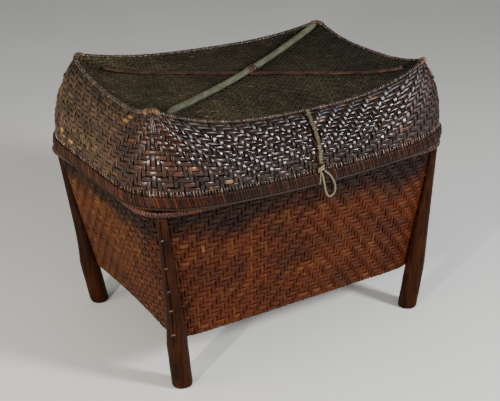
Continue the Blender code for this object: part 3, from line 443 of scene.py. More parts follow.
def make_piece(name, points, faces, finish, body, uv=None, tone=None, replaced=(), caps=()):
    """A mesh object from arrays, riding on a body. tone is a colour for each point."""
    mesh = bpy.data.meshes.new(name)
    points = np.ascontiguousarray(points.reshape(-1, 3))
    mesh.from_pydata(points, [], list(faces) + [list(cap) for cap in caps])
    mesh.polygons.foreach_set("use_smooth", np.ones(len(mesh.polygons), bool))
    corner = np.empty(len(mesh.loops), np.int32)
    mesh.loops.foreach_get("vertex_index", corner)
    if uv is not None:
        layer = mesh.uv_layers.new(name="Strand")
        layer.uv.foreach_set("vector", uv.reshape(-1, 2)[corner].ravel())
    if tone is None:
        tone = np.tile((0.5, 0.5, 0.0, 0.5), (len(points), 1))
    colours = mesh.color_attributes.new("strand", "FLOAT_COLOR", "POINT")
    tone = np.ascontiguousarray(tone.reshape(-1, 4), dtype=np.float32)
    colours.data.foreach_set("color", tone.ravel())
    mesh.materials.append(FINISHES[finish])
    mesh.validate()
    mesh.update()
    piece = bpy.data.objects.new(name, mesh)
    bpy.context.collection.objects.link(piece)
    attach(piece, body)
    if replaced:
        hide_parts(*replaced)
    return piece


def crisp(piece):
    """Fuses places that coincide and marks sharp edges, so that flat faces stay flat."""
    form = bmesh.new()
    form.from_mesh(piece.data)
    bmesh.ops.remove_doubles(form, verts=form.verts, dist=2e-6)
    form.to_mesh(piece.data)
    form.free()
    piece.data.set_sharp_from_angle(angle=math.radians(CREASE_DEGREES))


# Sections of strips: how far across each place is, and its height in half thicknesses
LEAN_SECTION = ((-1.0, 0.0), (0.0, 1.0), (1.0, 0.0), (0.0, -1.0))
ROUND_SECTION = ((-1.0, -0.1), (-0.62, 0.78), (0.0, 1.0), (0.62, 0.78), (1.0, -0.1),
                 (0.0, -1.0))
FLAT_SECTION = ((-1.0, -0.1), (-0.5, 0.9), (0.5, 0.9), (1.0, -0.1), (0.0, -1.0))
SPLIT_SECTION = ((-1.0, 0.0), (-0.5, 1.0), (0.0, 0.35), (0.5, 1.0), (1.0, 0.0), (0.0, -1.0))


def strip_points(read, u, v, du, dv, lift, thickness, tilt, section):
    """Strips laid on a surface: at each sample the section's places lie across from the middle
    line by a share of du, dv, and out by lift + tilt * across + height * thickness / 2."""
    middle, normal = read(u, v)
    left, _ = read(u - du, v - dv)
    right, _ = read(u + du, v + dv)
    places = []
    for across, height in section:
        side = left if across < 0 else right
        out = lift + tilt * across + height * thickness / 2
        places.append(middle + (side - middle) * abs(across) + normal * out[..., None])
    return np.stack(places, 2)


def strip_faces(strips, samples, is_closed, places):
    """Faces of strips of so many places a section, with a cap on each open end."""
    s = np.arange(samples if is_closed else samples - 1)
    c = np.arange(places)
    first = np.arange(strips)[:, None] * samples * places
    n = first[:, None]
    here, there = s[:, None] * places, ((s + 1) % samples)[:, None] * places
    after = (c + 1) % places
    sides = np.stack([n + here + c, n + there + c, n + there + after, n + here + after], -1)
    faces = sides.reshape(-1, 4).tolist()
    if not is_closed:
        last = first + (samples - 1) * places
        faces += np.concatenate([first + c, last + c[::-1]]).tolist()
    return faces


def lay_strips(name, read, u, v, du, dv, lift, thickness, is_closed, finish, body, seed,
               tone=None, length=1.0, replaced=(), tilt=0.0, section=ROUND_SECTION):
    """Builds strips laid on a surface, with a tone for each and a map along and across it."""
    u, v, lift, tilt = np.broadcast_arrays(u, v, lift, tilt)
    strips, samples = u.shape
    places = len(section)
    points = strip_points(read, u, v, du, dv, lift, thickness, tilt, section)
    rng = np.random.default_rng(seed)
    if tone is None:
        tone = np.zeros((strips, samples, 3))
        tone[..., 0] = rng.random((strips, 1))
        tone[..., 1] = rng.random((strips, 1))
    colour = np.ones((strips, samples, places, 4))
    colour[..., :3] = tone[:, :, None]
    colour[..., 3] = v[..., None]
    uv = np.zeros((strips, samples, places, 2))
    uv[..., 0] = np.linspace(0.0, length, samples)[None, :, None] + rng.random((strips, 1, 1)) * 9
    uv[..., 1] = np.array(section)[:, 0] / 2 + 0.5 + np.arange(strips)[:, None, None] * 3.7
    faces = strip_faces(strips, samples, is_closed, places)
    return make_piece(name, points, faces, finish, body, uv, colour, replaced)


def chevron_phase(read, stakes, first):
    """Phase of a twill that leans one way in the first half of each side, going anticlockwise,
    and the other way in its second half: the running sum of +-1, eased to close on itself."""
    spots, _ = read((np.arange(stakes) + 0.5) / stakes, 0.4)
    x, y = spots[:, 0], spots[:, 1]
    on_short = np.abs(x) / np.abs(x).max() >= np.abs(y) / np.abs(y).max()
    is_first = np.where(on_short, x * y < 0, x * y > 0)
    phase = np.cumsum(np.where(is_first, first, -first))
    spare = (phase[-1] + 2) % 4 - 2
    return phase - np.round(spare * np.arange(stakes) / stakes).astype(int)


def hashed(ids, rows, seed):
    """A number from 0 to 1 for each float: the part after the point of a large sine."""
    mixed = np.sin(ids * 12.9898 + rows * 78.233 + seed) * 43758.5453
    return mixed - np.floor(mixed)


def weave_course(is_over, is_closed, seed, pale, wander, uneven):
    """For each strip, at each crossing and between: its height as a share, its tone, its drift
    sideways, its width as a share and its tilt. The height is +-1 where it is over or under and
    the mean between, arched where both are alike, and varies from float to float."""
    own = np.random.default_rng(seed)
    count, cells = is_over.shape
    changes = np.concatenate([np.zeros((count, 1), bool), is_over[:, 1:] != is_over[:, :-1]], 1)
    ids = np.cumsum(changes, 1)
    strip = np.arange(count)[:, None]
    swell = 1.0 + uneven * (hashed(ids, strip, seed + 3) - 0.5)
    level = np.where(is_over, 1.0, -1.0) * swell
    beside = np.roll(level, -1, 1) if is_closed else np.append(level[:, 1:], level[:, -1:], 1)
    arch = (level + beside) / 2 * (1.0 + 0.3 * (level * beside > 0))
    height = np.stack([level, arch], 2).reshape(count, -1)
    ids = np.repeat(ids, 2, axis=1)
    if not is_closed:
        height = np.concatenate([level[:, :1] * 0.6, height[:, :-1], level[:, -1:] * 0.6], 1)
        ids = np.concatenate([ids[:, :1], ids[:, :-1], ids[:, -1:]], 1)
    spot = hashed(ids, strip, seed)
    rare = hashed(ids, strip, seed + 7)
    bright = np.where(rare < pale, 1.0, np.where(rare < 5 * pale, 0.4, 0.0)) * (height > 0.0)
    tone = np.stack([own.random((count, 1)) + np.zeros_like(height), spot, bright], -1)
    drift = np.cumsum(own.normal(0.0, 0.35, height.shape), 1)
    drift -= np.linspace(0.0, 1.0, height.shape[1])[None] * drift[:, -1:]
    drift = np.tanh(drift / 2.0) * wander
    size = (0.92 + 0.12 * own.random((count, 1))) * (0.95 + 0.1 * hashed(ids, strip, seed + 11))
    tilt = (hashed(ids, strip, seed + 13) - 0.5) * uneven
    return height, tone, drift, size, tilt


def plait(name, read, weavers, stakes, phase, thickness, widths, finishes, body, seed,
          is_round=True, pale=0.006, wander=0.07, uneven=0.5, lift=0.6,
          sections=(ROUND_SECTION, ROUND_SECTION)):
    """Plaits weavers across a surface with stakes up it, as real strips in place of the solid of
    that name: weaver j is over stake i where (phase i + j) mod 4 is under 2, and its height is
    +-lift thicknesses."""
    over = (np.asarray(phase)[None] + np.arange(weavers)[:, None]) % 4 < 2
    row, column = 1.0 / weavers, 1.0 / stakes

    def stations(count):
        return np.concatenate([[0.0], np.arange(2 * count - 1) / 2 + 0.5, [count]])[None]

    height, tone, drift, size, tilt = weave_course(over, is_round, seed + 1, pale, wander, uneven)
    u = ((np.arange(2 * stakes)[None] / 2 + 0.5) if is_round else stations(stakes)) * column
    v = (np.arange(weavers)[:, None] + 0.5 + drift) * row
    lay_strips(name + "_weavers", read, u, v, 0.0, size * widths[0] / 2 * row,
               height * lift * thickness, thickness, is_round, finishes[0], body, seed, tone,
               weavers * 1.0, (name,), tilt * thickness, sections[0])
    height, tone, drift, size, tilt = weave_course(~over.T, False, seed + 2, pale, wander, uneven)
    u = (np.arange(stakes)[:, None] + 0.5 + drift) * column
    lay_strips(name + "_stakes", read, u, stations(weavers) * row, -size * widths[1] / 2 * column,
               0.0, height * lift * thickness, thickness, False, finishes[1], body, seed + 5, tone,
               2.0, (), tilt * thickness, sections[1])


def solid_hoop(name, grid, finish, body, replaced=()):
    """A closed hoop from a grid of section rows by ring columns."""
    rows, columns = grid.shape[:2]
    around = np.arange(columns) / columns * 60.0
    uv = np.stack(np.broadcast_arrays(around[None], np.linspace(0.0, 1.0, rows)[:, None]), -1)
    faces = quads_of(rows, columns, True, True).tolist()
    return make_piece(name, grid, faces, finish, body, uv, None, replaced)


def capped_tube(name, grid, finish, body, replaced=(), tone=None, length=1.0):
    """A tube whose rows go along it and columns round it, with flat caps on both ends."""
    rows, columns = grid.shape[:2]
    uv = np.stack(np.broadcast_arrays(np.linspace(0.0, length, rows)[:, None],
                                      np.linspace(0.0, 1.0, columns)[None]), -1)
    faces = quads_of(rows, columns, False, True).tolist()
    caps = [range(columns)[::-1], range((rows - 1) * columns, rows * columns)]
    return make_piece(name, grid, faces, finish, body, uv, tone, replaced, caps)


def wraps(name, read, count, start_v, end_v, slant, width, thickness, lift, finish, body, seed,
          samples=9, span_u=(0.0, 1.0), full=False, uneven=0.15):
    """Lashing strips across a surface, each running from one v to another while its u moves on
    by the slant, or right round it where full. Slant, width and uneven are shares of a step."""
    rng = np.random.default_rng(seed)
    step = (span_u[1] - span_u[0]) / count
    at = span_u[0] + (np.arange(count)[:, None] + 0.5 + rng.normal(0.0, uneven, (count, 1))) * step
    share = np.linspace(0.0, 1.0, samples, endpoint=not full)[None]
    u = at + slant * step * (share - 0.5)
    v = start_v + (end_v - start_v) * share
    rise = lift + thickness * 0.35 * (rng.random((count, 1)) - 0.5) + np.zeros_like(u)
    if not full:
        rise = rise - thickness * 0.8 * (np.abs(share - 0.5) * 2) ** 8
    half = width * step / 2 * (0.85 + 0.3 * rng.random((count, 1)))
    sign = -1.0 if end_v > start_v else 1.0
    return lay_strips(name, read, u, v, sign * half, 0.0, rise, thickness, full, finish, body,
                      seed + 1, length=2.0)


# Finishes

class Shading:
    """A shader's node tree, with a call for each kind of node that the finishes share."""

    def __init__(self, tree):
        self.tree = tree
        self.places = None

    def node(self, kind, feeds=None, **settings):
        """A new node with its settings made and each named input set or wired."""
        new = self.tree.nodes.new("ShaderNode" + kind)
        for key, value in settings.items():
            setattr(new, key, value)
        for socket, value in (feeds or {}).items():
            self.feed(new.inputs[socket], value)
        return new

    def feed(self, socket, value):
        """Wires a socket, or sets it, with an alpha of 1 where it is a colour."""
        if isinstance(value, bpy.types.NodeSocket):
            self.tree.links.new(value, socket)
        else:
            socket.default_value = (*value[:3], 1.0) if socket.type == "RGBA" else value

    def mix(self, share, first, second):
        """A value between two."""
        return self.node("Mix", {0: share, 2: first, 3: second}).outputs[0]

    def blend(self, share, first, second, kind="MIX"):
        """A colour mixed from two."""
        return self.node("Mix", {0: share, 6: first, 7: second}, data_type="RGBA",
                         blend_type=kind).outputs[2]

    def tint(self, share, colour, by):
        """A colour multiplied by another, by a share."""
        return self.blend(share, colour, self.blend(1.0, colour, by, "MULTIPLY"))

    def shade(self, colour, value):
        """A colour multiplied by a grey."""
        grey = self.node("CombineColor", {0: value, 1: value, 2: value}).outputs[0]
        return self.blend(1.0, colour, grey, "MULTIPLY")

    def range(self, value, low, high, to_low=0.0, to_high=1.0):
        """A value moved from one range to another with soft ends."""
        return self.node("MapRange", {0: value, 1: low, 2: high, 3: to_low, 4: to_high},
                         interpolation_type="SMOOTHSTEP").outputs[0]

    def sum(self, operation, first, second):
        """One sum of two values."""
        return self.node("Math", {0: first, 1: second}, operation=operation).outputs[0]

    def shares(self, first, share, second, other):
        """first * share + second * other."""
        return self.sum("ADD", self.sum("MULTIPLY", first, share),
                        self.sum("MULTIPLY", second, other))

    def swing(self, value, amount):
        """(value - 0.5) * amount."""
        return self.sum("MULTIPLY", self.sum("SUBTRACT", value, 0.5), amount)

    def at(self, kind):
        """Texture coordinates of one kind."""
        self.places = self.places or self.node("TexCoord")
        return self.places.outputs[kind]

    def noise(self, kind, scale, detail, stretch=None, **feeds):
        """Noise over coordinates of one kind, closer along each axis by the stretch."""
        place = self.at(kind)
        if stretch:
            place = self.node("Mapping", {0: place, 3: stretch}).outputs[0]
        feeds = {0: place, "Scale": scale, "Detail": detail, **feeds}
        return self.node("TexNoise", feeds).outputs[0]

    def bump(self, strength, distance, height):
        """Normal of a relief."""
        return self.node("Bump", {"Strength": strength, "Distance": distance,
                                  "Height": height}).outputs[0]


COLOUR, FLOAT, VECTOR = "NodeSocketColor", "NodeSocketFloat", "NodeSocketVector"


def group(name, inputs, outputs):
    """An empty node group: its shading, its input node's sockets and its output node's."""
    tree = bpy.data.node_groups.new(name, "ShaderNodeTree")
    for label, kind, default in inputs:
        tree.interface.new_socket(label, in_out="INPUT", socket_type=kind).default_value = default
    for label, kind in outputs:
        tree.interface.new_socket(label, in_out="OUTPUT", socket_type=kind)
    return (Shading(tree), tree.nodes.new("NodeGroupInput").outputs,
            tree.nodes.new("NodeGroupOutput").inputs)


def strand_tone_group():
    """Colour of a strip: its own tone, each float's tone, rare pale floats, patina and streaks."""
    black = (0.0, 0.0, 0.0, 1.0)
    make, given, out = group("Strand tone", [
        *((label, COLOUR, black) for label in ("Deep", "Warm", "Light", "Pale")),
        ("Patina", FLOAT, 0.5)], [("Colour", COLOUR), ("Wear", FLOAT), ("Upper", FLOAT)])
    strand = make.node("Attribute", attribute_name="strand").outputs
    own, of_float, pale = make.node("SeparateColor", {0: strand["Color"]}).outputs
    streak = make.noise("UV", 1.0, 3.0, (1.5, 9.0, 1.0))
    cloud = make.noise("Object", 13.0, 4.0, Roughness=0.62)
    grain = make.noise("Object", 160.0, 2.0)
    tone = make.shares(own, 0.45, of_float, 0.55)
    tone = make.sum("ADD", tone, make.swing(streak, 0.6))
    base = make.blend(make.range(tone, 0.1, 0.8), given["Deep"], given["Warm"])
    base = make.blend(make.range(tone, 0.62, 1.05), base, given["Light"])
    base = make.blend(pale, base, given["Pale"])
    soot_and_shade = make.mix(given["Patina"], 1.0, make.range(cloud, 0.35, 0.62, 0.35, 1.0))
    make.feed(out["Colour"], make.shade(base, soot_and_shade))
    make.feed(out["Wear"], make.shares(of_float, 0.6, grain, 0.4))
    # Upper: the top rows of a wall, which the lid's finish darkens as painted shade.
    make.feed(out["Upper"], make.range(strand["Alpha"], 0.8, 0.97))
    return make.tree


def fibre_group():
    """Fine relief of a strip: long fibres along its own map, and small pits."""
    make, given, out = group("Cane fibre", [("Strength", FLOAT, 0.3), ("Distance", FLOAT, 0.0004)],
                             [("Normal", VECTOR)])
    fibre = make.noise("UV", 1.0, 3.0, (3.0, 26.0, 1.0))
    pits = make.sum("MULTIPLY", make.noise("Object", 420.0, 2.0), 0.4)
    make.feed(out["Normal"], make.bump(given["Strength"], given["Distance"],
                                       make.sum("ADD", fibre, pits)))
    return make.tree


def region_group():
    """Masks of regions from Object coordinates: left and right, near corner, painted shade under
    the lid.
    """
    make, given, out = group("Basket regions", [
        ("Under lid shade low", FLOAT, 0.25), ("Under lid shade high", FLOAT, 0.3), ("Left low", FLOAT, -0.272),
        ("Left high", FLOAT, -0.212), ("Right low", FLOAT, 0.14), ("Right high", FLOAT, 0.25)],
        [("Left", FLOAT), ("Right", FLOAT), ("Under lid shade", FLOAT), ("Near corner", FLOAT)])
    x, y, z = make.node("SeparateXYZ", {0: make.at("Object")}).outputs
    shift = make.swing(make.noise("Object", 9.0, 3.0), 0.12)
    near = make.sum("ADD", make.sum("ADD", x, y), shift)
    near = make.range(near, -0.43, -0.33, 1.0, 0.0)
    across = make.sum("ADD", x, shift)
    # The left side's mask: tints lighten the left side, partly its own colour and partly painted
    # light.
    left = make.range(across, given["Left low"], given["Left high"], 1.0, 0.0)
    make.feed(out["Near corner"], near)
    make.feed(out["Left"], make.sum("MULTIPLY", left, make.range(near, 0.0, 1.0, 1.0, 0.3)))
    # The right end's mask: tints darken the right end, painted shade.
    make.feed(out["Right"], make.range(across, given["Right low"], given["Right high"]))
    # Painted shade: the band just under the lid, from nil at its low height to full at its high
    # one.
    make.feed(out["Under lid shade"], make.range(make.sum("ADD", z, shift), given["Under lid shade low"],
                                      given["Under lid shade high"]))
    return make.tree


def new_finish(name, rough, specular):
    """A material, its shading and its Principled inputs, whose even values are set."""
    material = bpy.data.materials.new(name)
    material.use_nodes = True
    shader = material.node_tree.nodes["Principled BSDF"].inputs
    shader["Roughness"].default_value = sum(rough) / 2
    shader["Specular IOR Level"].default_value = specular
    return material, Shading(material.node_tree), shader


def cane_finish(name, tones, groups, rough, patina, specular, left=None, right=None, soot_and_shade=None,
                near=None, upper=None, relief=0.35, span=None):
    """Plaited cane: strand tones, rougher where worn, with regions tinted: the left side lighter,
    partly its own colour and partly painted light; the right end, the upper rows and the band
    under the lid darker, painted shade. A tint is three factors and the roughness there, or for
    the near corner the mask's share."""
    material, make, shader = new_finish(name, rough, specular)
    labels = ("Deep", "Warm", "Light", "Pale", "Patina")
    strand = make.node("Group", node_tree=groups["tone"])
    region = make.node("Group", node_tree=groups["region"])
    for socket, value in zip(labels, (*tones, patina)):
        make.feed(strand.inputs[socket], value)
    colour, mask = strand.outputs["Colour"], region.outputs
    roughness = make.range(strand.outputs["Wear"], 0.2, 0.8, *rough)
    if near:
        colour = make.tint(make.sum("MULTIPLY", mask["Near corner"], near[3]), colour, near)
    for where, tint in ((mask["Left"], left), (mask["Right"], right),
                        (strand.outputs["Upper"], upper)):
        if tint:
            colour = make.tint(where, colour, tint)
            roughness = make.mix(where, roughness, tint[3])
    if span:
        for socket, value in zip(("Left low", "Left high", "Right low", "Right high"), span):
            region.inputs[socket].default_value = value
    # Painted shade: a darker, bluer band on the body just under the lid's overhang.
    if soot_and_shade:
        region.inputs["Under lid shade low"].default_value = soot_and_shade[0]
        region.inputs["Under lid shade high"].default_value = soot_and_shade[1]
        colour = make.tint(mask["Under lid shade"], colour, soot_and_shade[2])
    fibre = make.node("Group", node_tree=groups["fibre"])
    fibre.inputs["Strength"].default_value = relief
    for socket, value in (("Base Color", colour), ("Roughness", roughness),
                          ("Normal", fibre.outputs["Normal"])):
        make.feed(shader[socket], value)
    return material


def wood_finish(name, dark, light, stretch, rough, specular, knots=0.3):
    """Old wood: grain drawn out along one axis of Object coordinates, worn lighter in patches."""
    material, make, shader = new_finish(name, rough, specular)
    grain = make.noise("Object", 9.0, 5.0, stretch, Roughness=0.6, Distortion=0.4)
    cloud = make.noise("Object", 22.0, 3.0)
    colour = make.blend(make.range(grain, 0.36, 0.66), dark, light)
    colour = make.shade(colour, make.range(cloud, 0.3, 0.65, 1.0 - knots, 1.15))
    make.feed(shader["Base Color"], colour)
    make.feed(shader["Roughness"], make.range(grain, 0.3, 0.7, *rough))
    make.feed(shader["Normal"], make.bump(0.5, 0.0006, grain))
    return material


def floor_finish(colour):
    """Pale matt floor with a faint mottle."""
    material, make, shader = new_finish("pale_floor", (0.85, 0.85), 0.2)
    mottle = make.range(make.noise("Object", 3.0, 4.0), 0.3, 0.7, 0.97, 1.0)
    make.feed(shader["Base Color"], make.shade(colour, mottle))
    return material


def make_finishes(colours):
    """Every finish of the basket, by the name of its material."""
    groups = {"tone": strand_tone_group(), "fibre": fibre_group(), "region": region_group()}
    body, lid, top, honey, stake = (np.array(getattr(colours, part)) for part in
                                    ("body", "lid", "top", "honey", "stake"))

    def shades(colour, *shares):
        return [colour * np.array(share) for share in shares]

    # On the body: the left side lighter, partly its own colour and partly painted light; under the
    # lid, a darker, bluer band of painted shade.
    on_body = {"left": (1.35, 1.9, 1.9, 0.55), "soot_and_shade": (0.232, 0.282, (0.17, 0.2, 0.32))}
    # On the lid: the right end browner and darker and the rows under the top edge darker, painted
    # shade; the near corner redder.
    on_lid = {"right": (1.25, 0.7, 0.4, 0.62), "near": (1.0, 0.62, 0.4, 1.0),
              "upper": (0.8, 0.75, 0.65, 0.45), "relief": 0.2}
    # Left tints lighten a left side, partly the cane's own colour and partly painted light.
    # Name, three tones from deep to light, roughness, patina, specular level and tints
    canes = (
        ("body_weaver_cane", shades(body, 0.62, 1.0, (1.2, 2.2, 3.4)), (0.32, 0.5), 0.6, 0.14,
         on_body),
        ("body_stake_cane", shades(body, 0.5, 0.85, (1.1, 2.0, 3.0)), (0.38, 0.55), 0.6, 0.12,
         on_body),
        ("lid_weaver_cane", shades(lid, 0.4, 1.0, 1.9), (0.09, 0.26), 0.6, 0.4,
         {"left": (3.8, 4.3, 2.7, 0.62), **on_lid}),
        ("lid_stake_cane", shades(lid, 0.35, 0.85, 1.6), (0.12, 0.3), 0.6, 0.4,
         {"left": (4.3, 4.8, 2.9, 0.62), **on_lid}),
        # The top: lighter on the left, partly painted light; darker on the right, painted shade.
        ("lid_top_cane", shades(top, 0.6, 1.0, 1.4), (0.7, 0.85), 0.6, 0.08,
         {"left": (1.6, 1.5, 1.45, 0.8), "right": (0.7, 0.75, 0.8, 0.8),
          "span": (-0.2, 0.0, 0.03, 0.2)}),
        ("base_cane", shades(body, 0.25, 0.7, 1.2), (0.55, 0.75), 0.8, 0.2, {}),
        ("rim_lashing_cane", ((0.012, 0.0045, 0.0022), (0.033, 0.0105, 0.0045),
                              (0.07, 0.024, 0.0095)), (0.14, 0.3), 0.4, 0.14,
         {"left": (1.8, 1.9, 1.5, 0.55), "near": (1.6, 1.1, 0.8, 1.0)}),
        ("hoop_cane_core", shades(lid, 0.3, 0.7, 1.1), (0.45, 0.6), 0.7, 0.25, {}),
        # The winding lighter at the near corner: partly worn cane, partly a painted highlight.
        ("ledge_lashing_cane", (*shades(body, 0.45, 0.85), (0.09, 0.031, 0.014)), (0.25, 0.5),
         0.6, 0.4, {"near": (1.2, 1.0, 0.9, 1.0)}),
        ("rim_rod_cane", ((0.012, 0.0055, 0.003), (0.026, 0.012, 0.006), (0.075, 0.042, 0.022)),
         (0.4, 0.6), 0.5, 0.16, {"left": (1.5, 1.5, 1.3, 0.6), "near": (1.1, 1.0, 0.9, 1.0)}),
        ("stitch_cane", ((0.02, 0.01, 0.006), (0.09, 0.046, 0.028), (0.28, 0.18, 0.12)),
         (0.15, 0.35), 0.3, 0.6, {}),
        ("corner_strand_cane", ((0.04, 0.022, 0.015), (0.12, 0.07, 0.05), (0.3, 0.22, 0.18)),
         (0.12, 0.25), 0.3, 0.8, {}),
        ("edge_lashing_cane", ((0.024, 0.014, 0.008), (0.062, 0.036, 0.022),
                               (0.17, 0.105, 0.066)), (0.16, 0.34), 0.6, 0.5, {}),
        ("peak_lashing_cane", ((0.04, 0.016, 0.008), (0.17, 0.078, 0.034), (0.36, 0.2, 0.1)),
         (0.3, 0.5), 0.5, 0.4, {}),
        ("crossing_tie_cane", ((0.02, 0.008, 0.005), (0.075, 0.03, 0.017), (0.17, 0.08, 0.045)),
         (0.3, 0.5), 0.5, 0.3, {}),
        ("straw_cord_strand", ((0.08, 0.062, 0.034), (0.19, 0.152, 0.09), (0.36, 0.3, 0.195)),
         (0.6, 0.8), 0.5, 0.3, {"relief": 0.5}),
    )
    for name, tones, rough, patina, specular, tints in canes:
        FINISHES[name] = cane_finish(name, (*tones, honey), groups, rough, patina, specular,
                                     **tints)
    # Name, dark and light tones, stretch along each axis, roughness, specular level and knots
    woods = (
        ("flat_bar_cane", (0.018, 0.008, 0.005), (0.06, 0.027, 0.017), (6.0, 9.0, 30.0),
         (0.35, 0.55), 0.14, 0.3),
        ("round_bar_wood", (0.055, 0.057, 0.034), (0.105, 0.107, 0.068), (5.0, 9.0, 30.0),
         (0.5, 0.7), 0.15, 0.1),
        ("stake_wood_dark", *shades(stake, 1.0, 2.6), (26.0, 26.0, 2.0), (0.4, 0.65), 0.06, 0.3),
        ("batten_wood", *shades(stake, 0.7, 2.3), (30.0, 30.0, 2.0), (0.4, 0.6), 0.08, 0.3),
    )
    for name, *settings in woods:
        FINISHES[name] = wood_finish(name, *settings)


# Pieces

def plait_body(sizes):
    """The body's wall and its base."""
    wall = reader(body_skin(BODY_WALL / 2))
    plait("body_wall", wall, sizes.body_rows, sizes.body_stakes,
          chevron_phase(wall, sizes.body_stakes, -1), sizes.strip_thickness, (1.0, 0.94),
          ("body_weaver_cane", "body_stake_cane"), "basket", 11,
          pale=0.0001, lift=0.5, uneven=0.6, sections=(FLAT_SECTION, FLAT_SECTION))

    inside = BASE_RING - mitres(BASE_RING) * (BODY_WALL + 0.001)

    def height(out, plan, blend):
        return BASE_HEIGHT + BASE_THICKNESS / 2 + base_rise(plan)

    base = reader(panel_grid(BASE_RING, inside, height, 121, 91), False)
    plait("body_base", base, BASE_ROWS, BASE_STAKES, np.arange(BASE_STAKES), BASE_STRIP,
          (1.02, 1.02), ("base_cane", "base_cane"), "basket", 17, is_round=False, lift=0.5)


def lash_ledge(sizes):
    """The ledge hoop wound with cane, and the flat hoops inside and outside the mouth."""
    section = oval(LEDGE_HOOP_THICKNESS - 0.0018, LEDGE_HOOP_HEIGHT - 0.0018, 14)
    reach = FIT_GAP + LEDGE_HOOP_THICKNESS / 2
    grid = even_hoop(LEDGE_RING, reach, LEDGE_HEIGHT, section)
    solid_hoop("ledge_core", grid, "hoop_cane_core", "basket", ("ledge_hoop",))
    wraps("ledge_winding", reader(grid, True, True), 380, 0.0, 1.0, 1.0, 0.93, 0.0011, 0.0004,
          "ledge_lashing_cane", "basket", 23, samples=12, full=True)
    low = MOUTH_HEIGHT - MOUTH_HOOP_WIDTH
    block = rounded_block(MOUTH_HOOP_THICKNESS, MOUTH_HOOP_WIDTH, 0.0012)
    inner = -BODY_WALL - FIT_GAP - MOUTH_HOOP_THICKNESS
    for name, reach in (("outer", FIT_GAP), ("inner", inner)):
        grid = even_hoop(MOUTH_RING, reach, low, block)
        solid_hoop("mouth_strip_" + name, grid, "hoop_cane_core", "basket",
                   ("mouth_hoop_" + name,))
    width = 2 * MOUTH_HOOP_THICKNESS + BODY_WALL + 2 * FIT_GAP
    grid = even_hoop(MOUTH_RING, inner, low, rounded_block(width, MOUTH_HOOP_WIDTH, 0.0012))
    wraps("mouth_winding", reader(grid, True, True), 150, 0.0, 1.0, 0.6, 0.45, 0.0009, 0.0002,
          "ledge_lashing_cane", "basket", 29, samples=16, full=True)


def plait_lid(sizes):
    """The lid's wall and its hollow top."""
    wall = reader(lid_skin(LID_WALL / 2))
    plait("lid_wall", wall, sizes.lid_rows, sizes.lid_stakes,
          chevron_phase(wall, sizes.lid_stakes, 1), sizes.lid_strip_thickness, (0.96, 0.92),
          ("lid_weaver_cane", "lid_stake_cane"), "lid", 37,
          pale=0.0034, uneven=0.8, sections=(ROUND_SECTION, SPLIT_SECTION))
    top = reader(top_skin(), False)
    plait("lid_top", top, sizes.top_rows, sizes.top_stakes, np.arange(sizes.top_stakes),
          TOP_STRIP, (1.0, 0.98), ("lid_top_cane", "lid_top_cane"), "lid", 41, is_round=False,
          pale=0.0004, sections=(LEAN_SECTION, LEAN_SECTION))


def rim_section():
    """The rim's outer face as (outward, up) steps: the band's foot, its bulge, the upper hoop."""
    low = RIM_ROD + FIT_GAP
    high = low + RIM_BAND_WIDTH
    out = RIM_REACH - 0.0012
    top = high + FIT_GAP + RIM_CORD - 0.001
    hoop = BAND_REACH + RIM_CORD
    return np.array([
        (BAND_REACH, low), (out - 0.0016, low), (out - 0.0004, low + 0.0015), (out, low + 0.004),
        (out, high - 0.005), (out - 0.0008, high - 0.002), (hoop - 0.0006, high + 0.001),
        (hoop - 0.0008, top - 0.0008), (BAND_REACH + RIM_CORD / 2, top), (BAND_REACH, top)])


def lash_rim(sizes):
    """The rim: core, close slanting lashing, a row of stitches above it and a rod below it."""
    line = rim_line()
    section = rim_section()
    grid = even_hoop(LID_RING, 0.0, line, section)
    solid_hoop("rim_core", grid, "hoop_cane_core", "lid", ("lid_rim_band", "lid_rim_hoop_upper"))
    wraps("rim_lashing", reader(grid), sizes.rim_lashings, 0.04, 0.97, -1.4, 0.82, 0.0019,
          0.0004, "rim_lashing_cane", "lid", 43, samples=14)
    rod = RIM_ROD / 2
    section = oval(RIM_ROD, RIM_ROD, 10)
    grid = even_hoop(LID_RING, RIM_REACH - rod - 0.0008, line + rod, section)
    solid_hoop("rim_rod", grid, "rim_rod_cane", "lid", ("lid_rim_rod",))
    wall = reader(even_columns(lid_rows(np.linspace(-0.3, 0.16, 12))))
    wraps("rim_stitches", wall, sizes.rim_lashings, 0.36, 0.8, -0.5, 0.42, 0.0013, 0.0008,
          "stitch_cane", "lid", 47, samples=6)

    inside = LID_RING - mitres(LID_RING) * (NECK_CLEARANCE + MOUTH_HOOP_THICKNESS)
    landing = MOUTH_HEIGHT + FIT_GAP
    width = NECK_CLEARANCE + MOUTH_HOOP_THICKNESS - 0.002
    grid = even_hoop(inside, 0.0, landing, rounded_block(width, STOP_HOOP_HEIGHT, 0.0016))
    solid_hoop("stop_strip", grid, "hoop_cane_core", "lid", ("lid_stop_hoop",))
    wraps("stop_winding", reader(grid, True, True), 110, 0.0, 1.0, 0.6, 0.5, 0.0008, 0.0001,
          "ledge_lashing_cane", "lid", 53, samples=16, full=True)


def edge_tube(radius, sides=12):
    """Tube round the lid's top edge: rows round it, columns along it."""
    return hoop_grid(EDGE[:, :2], 0.0, EDGE[:, 2], oval(2 * radius, 2 * radius, sides))


def ring_shares(ring, signs, reach):
    """The shares of the way round where a corner's stretch starts and ends, by length."""
    length = run_length(np.concatenate([ring, ring[:1]]))
    middle = length[TIPS[signs]]
    return (middle - reach) / length[-1], (middle + reach) / length[-1]


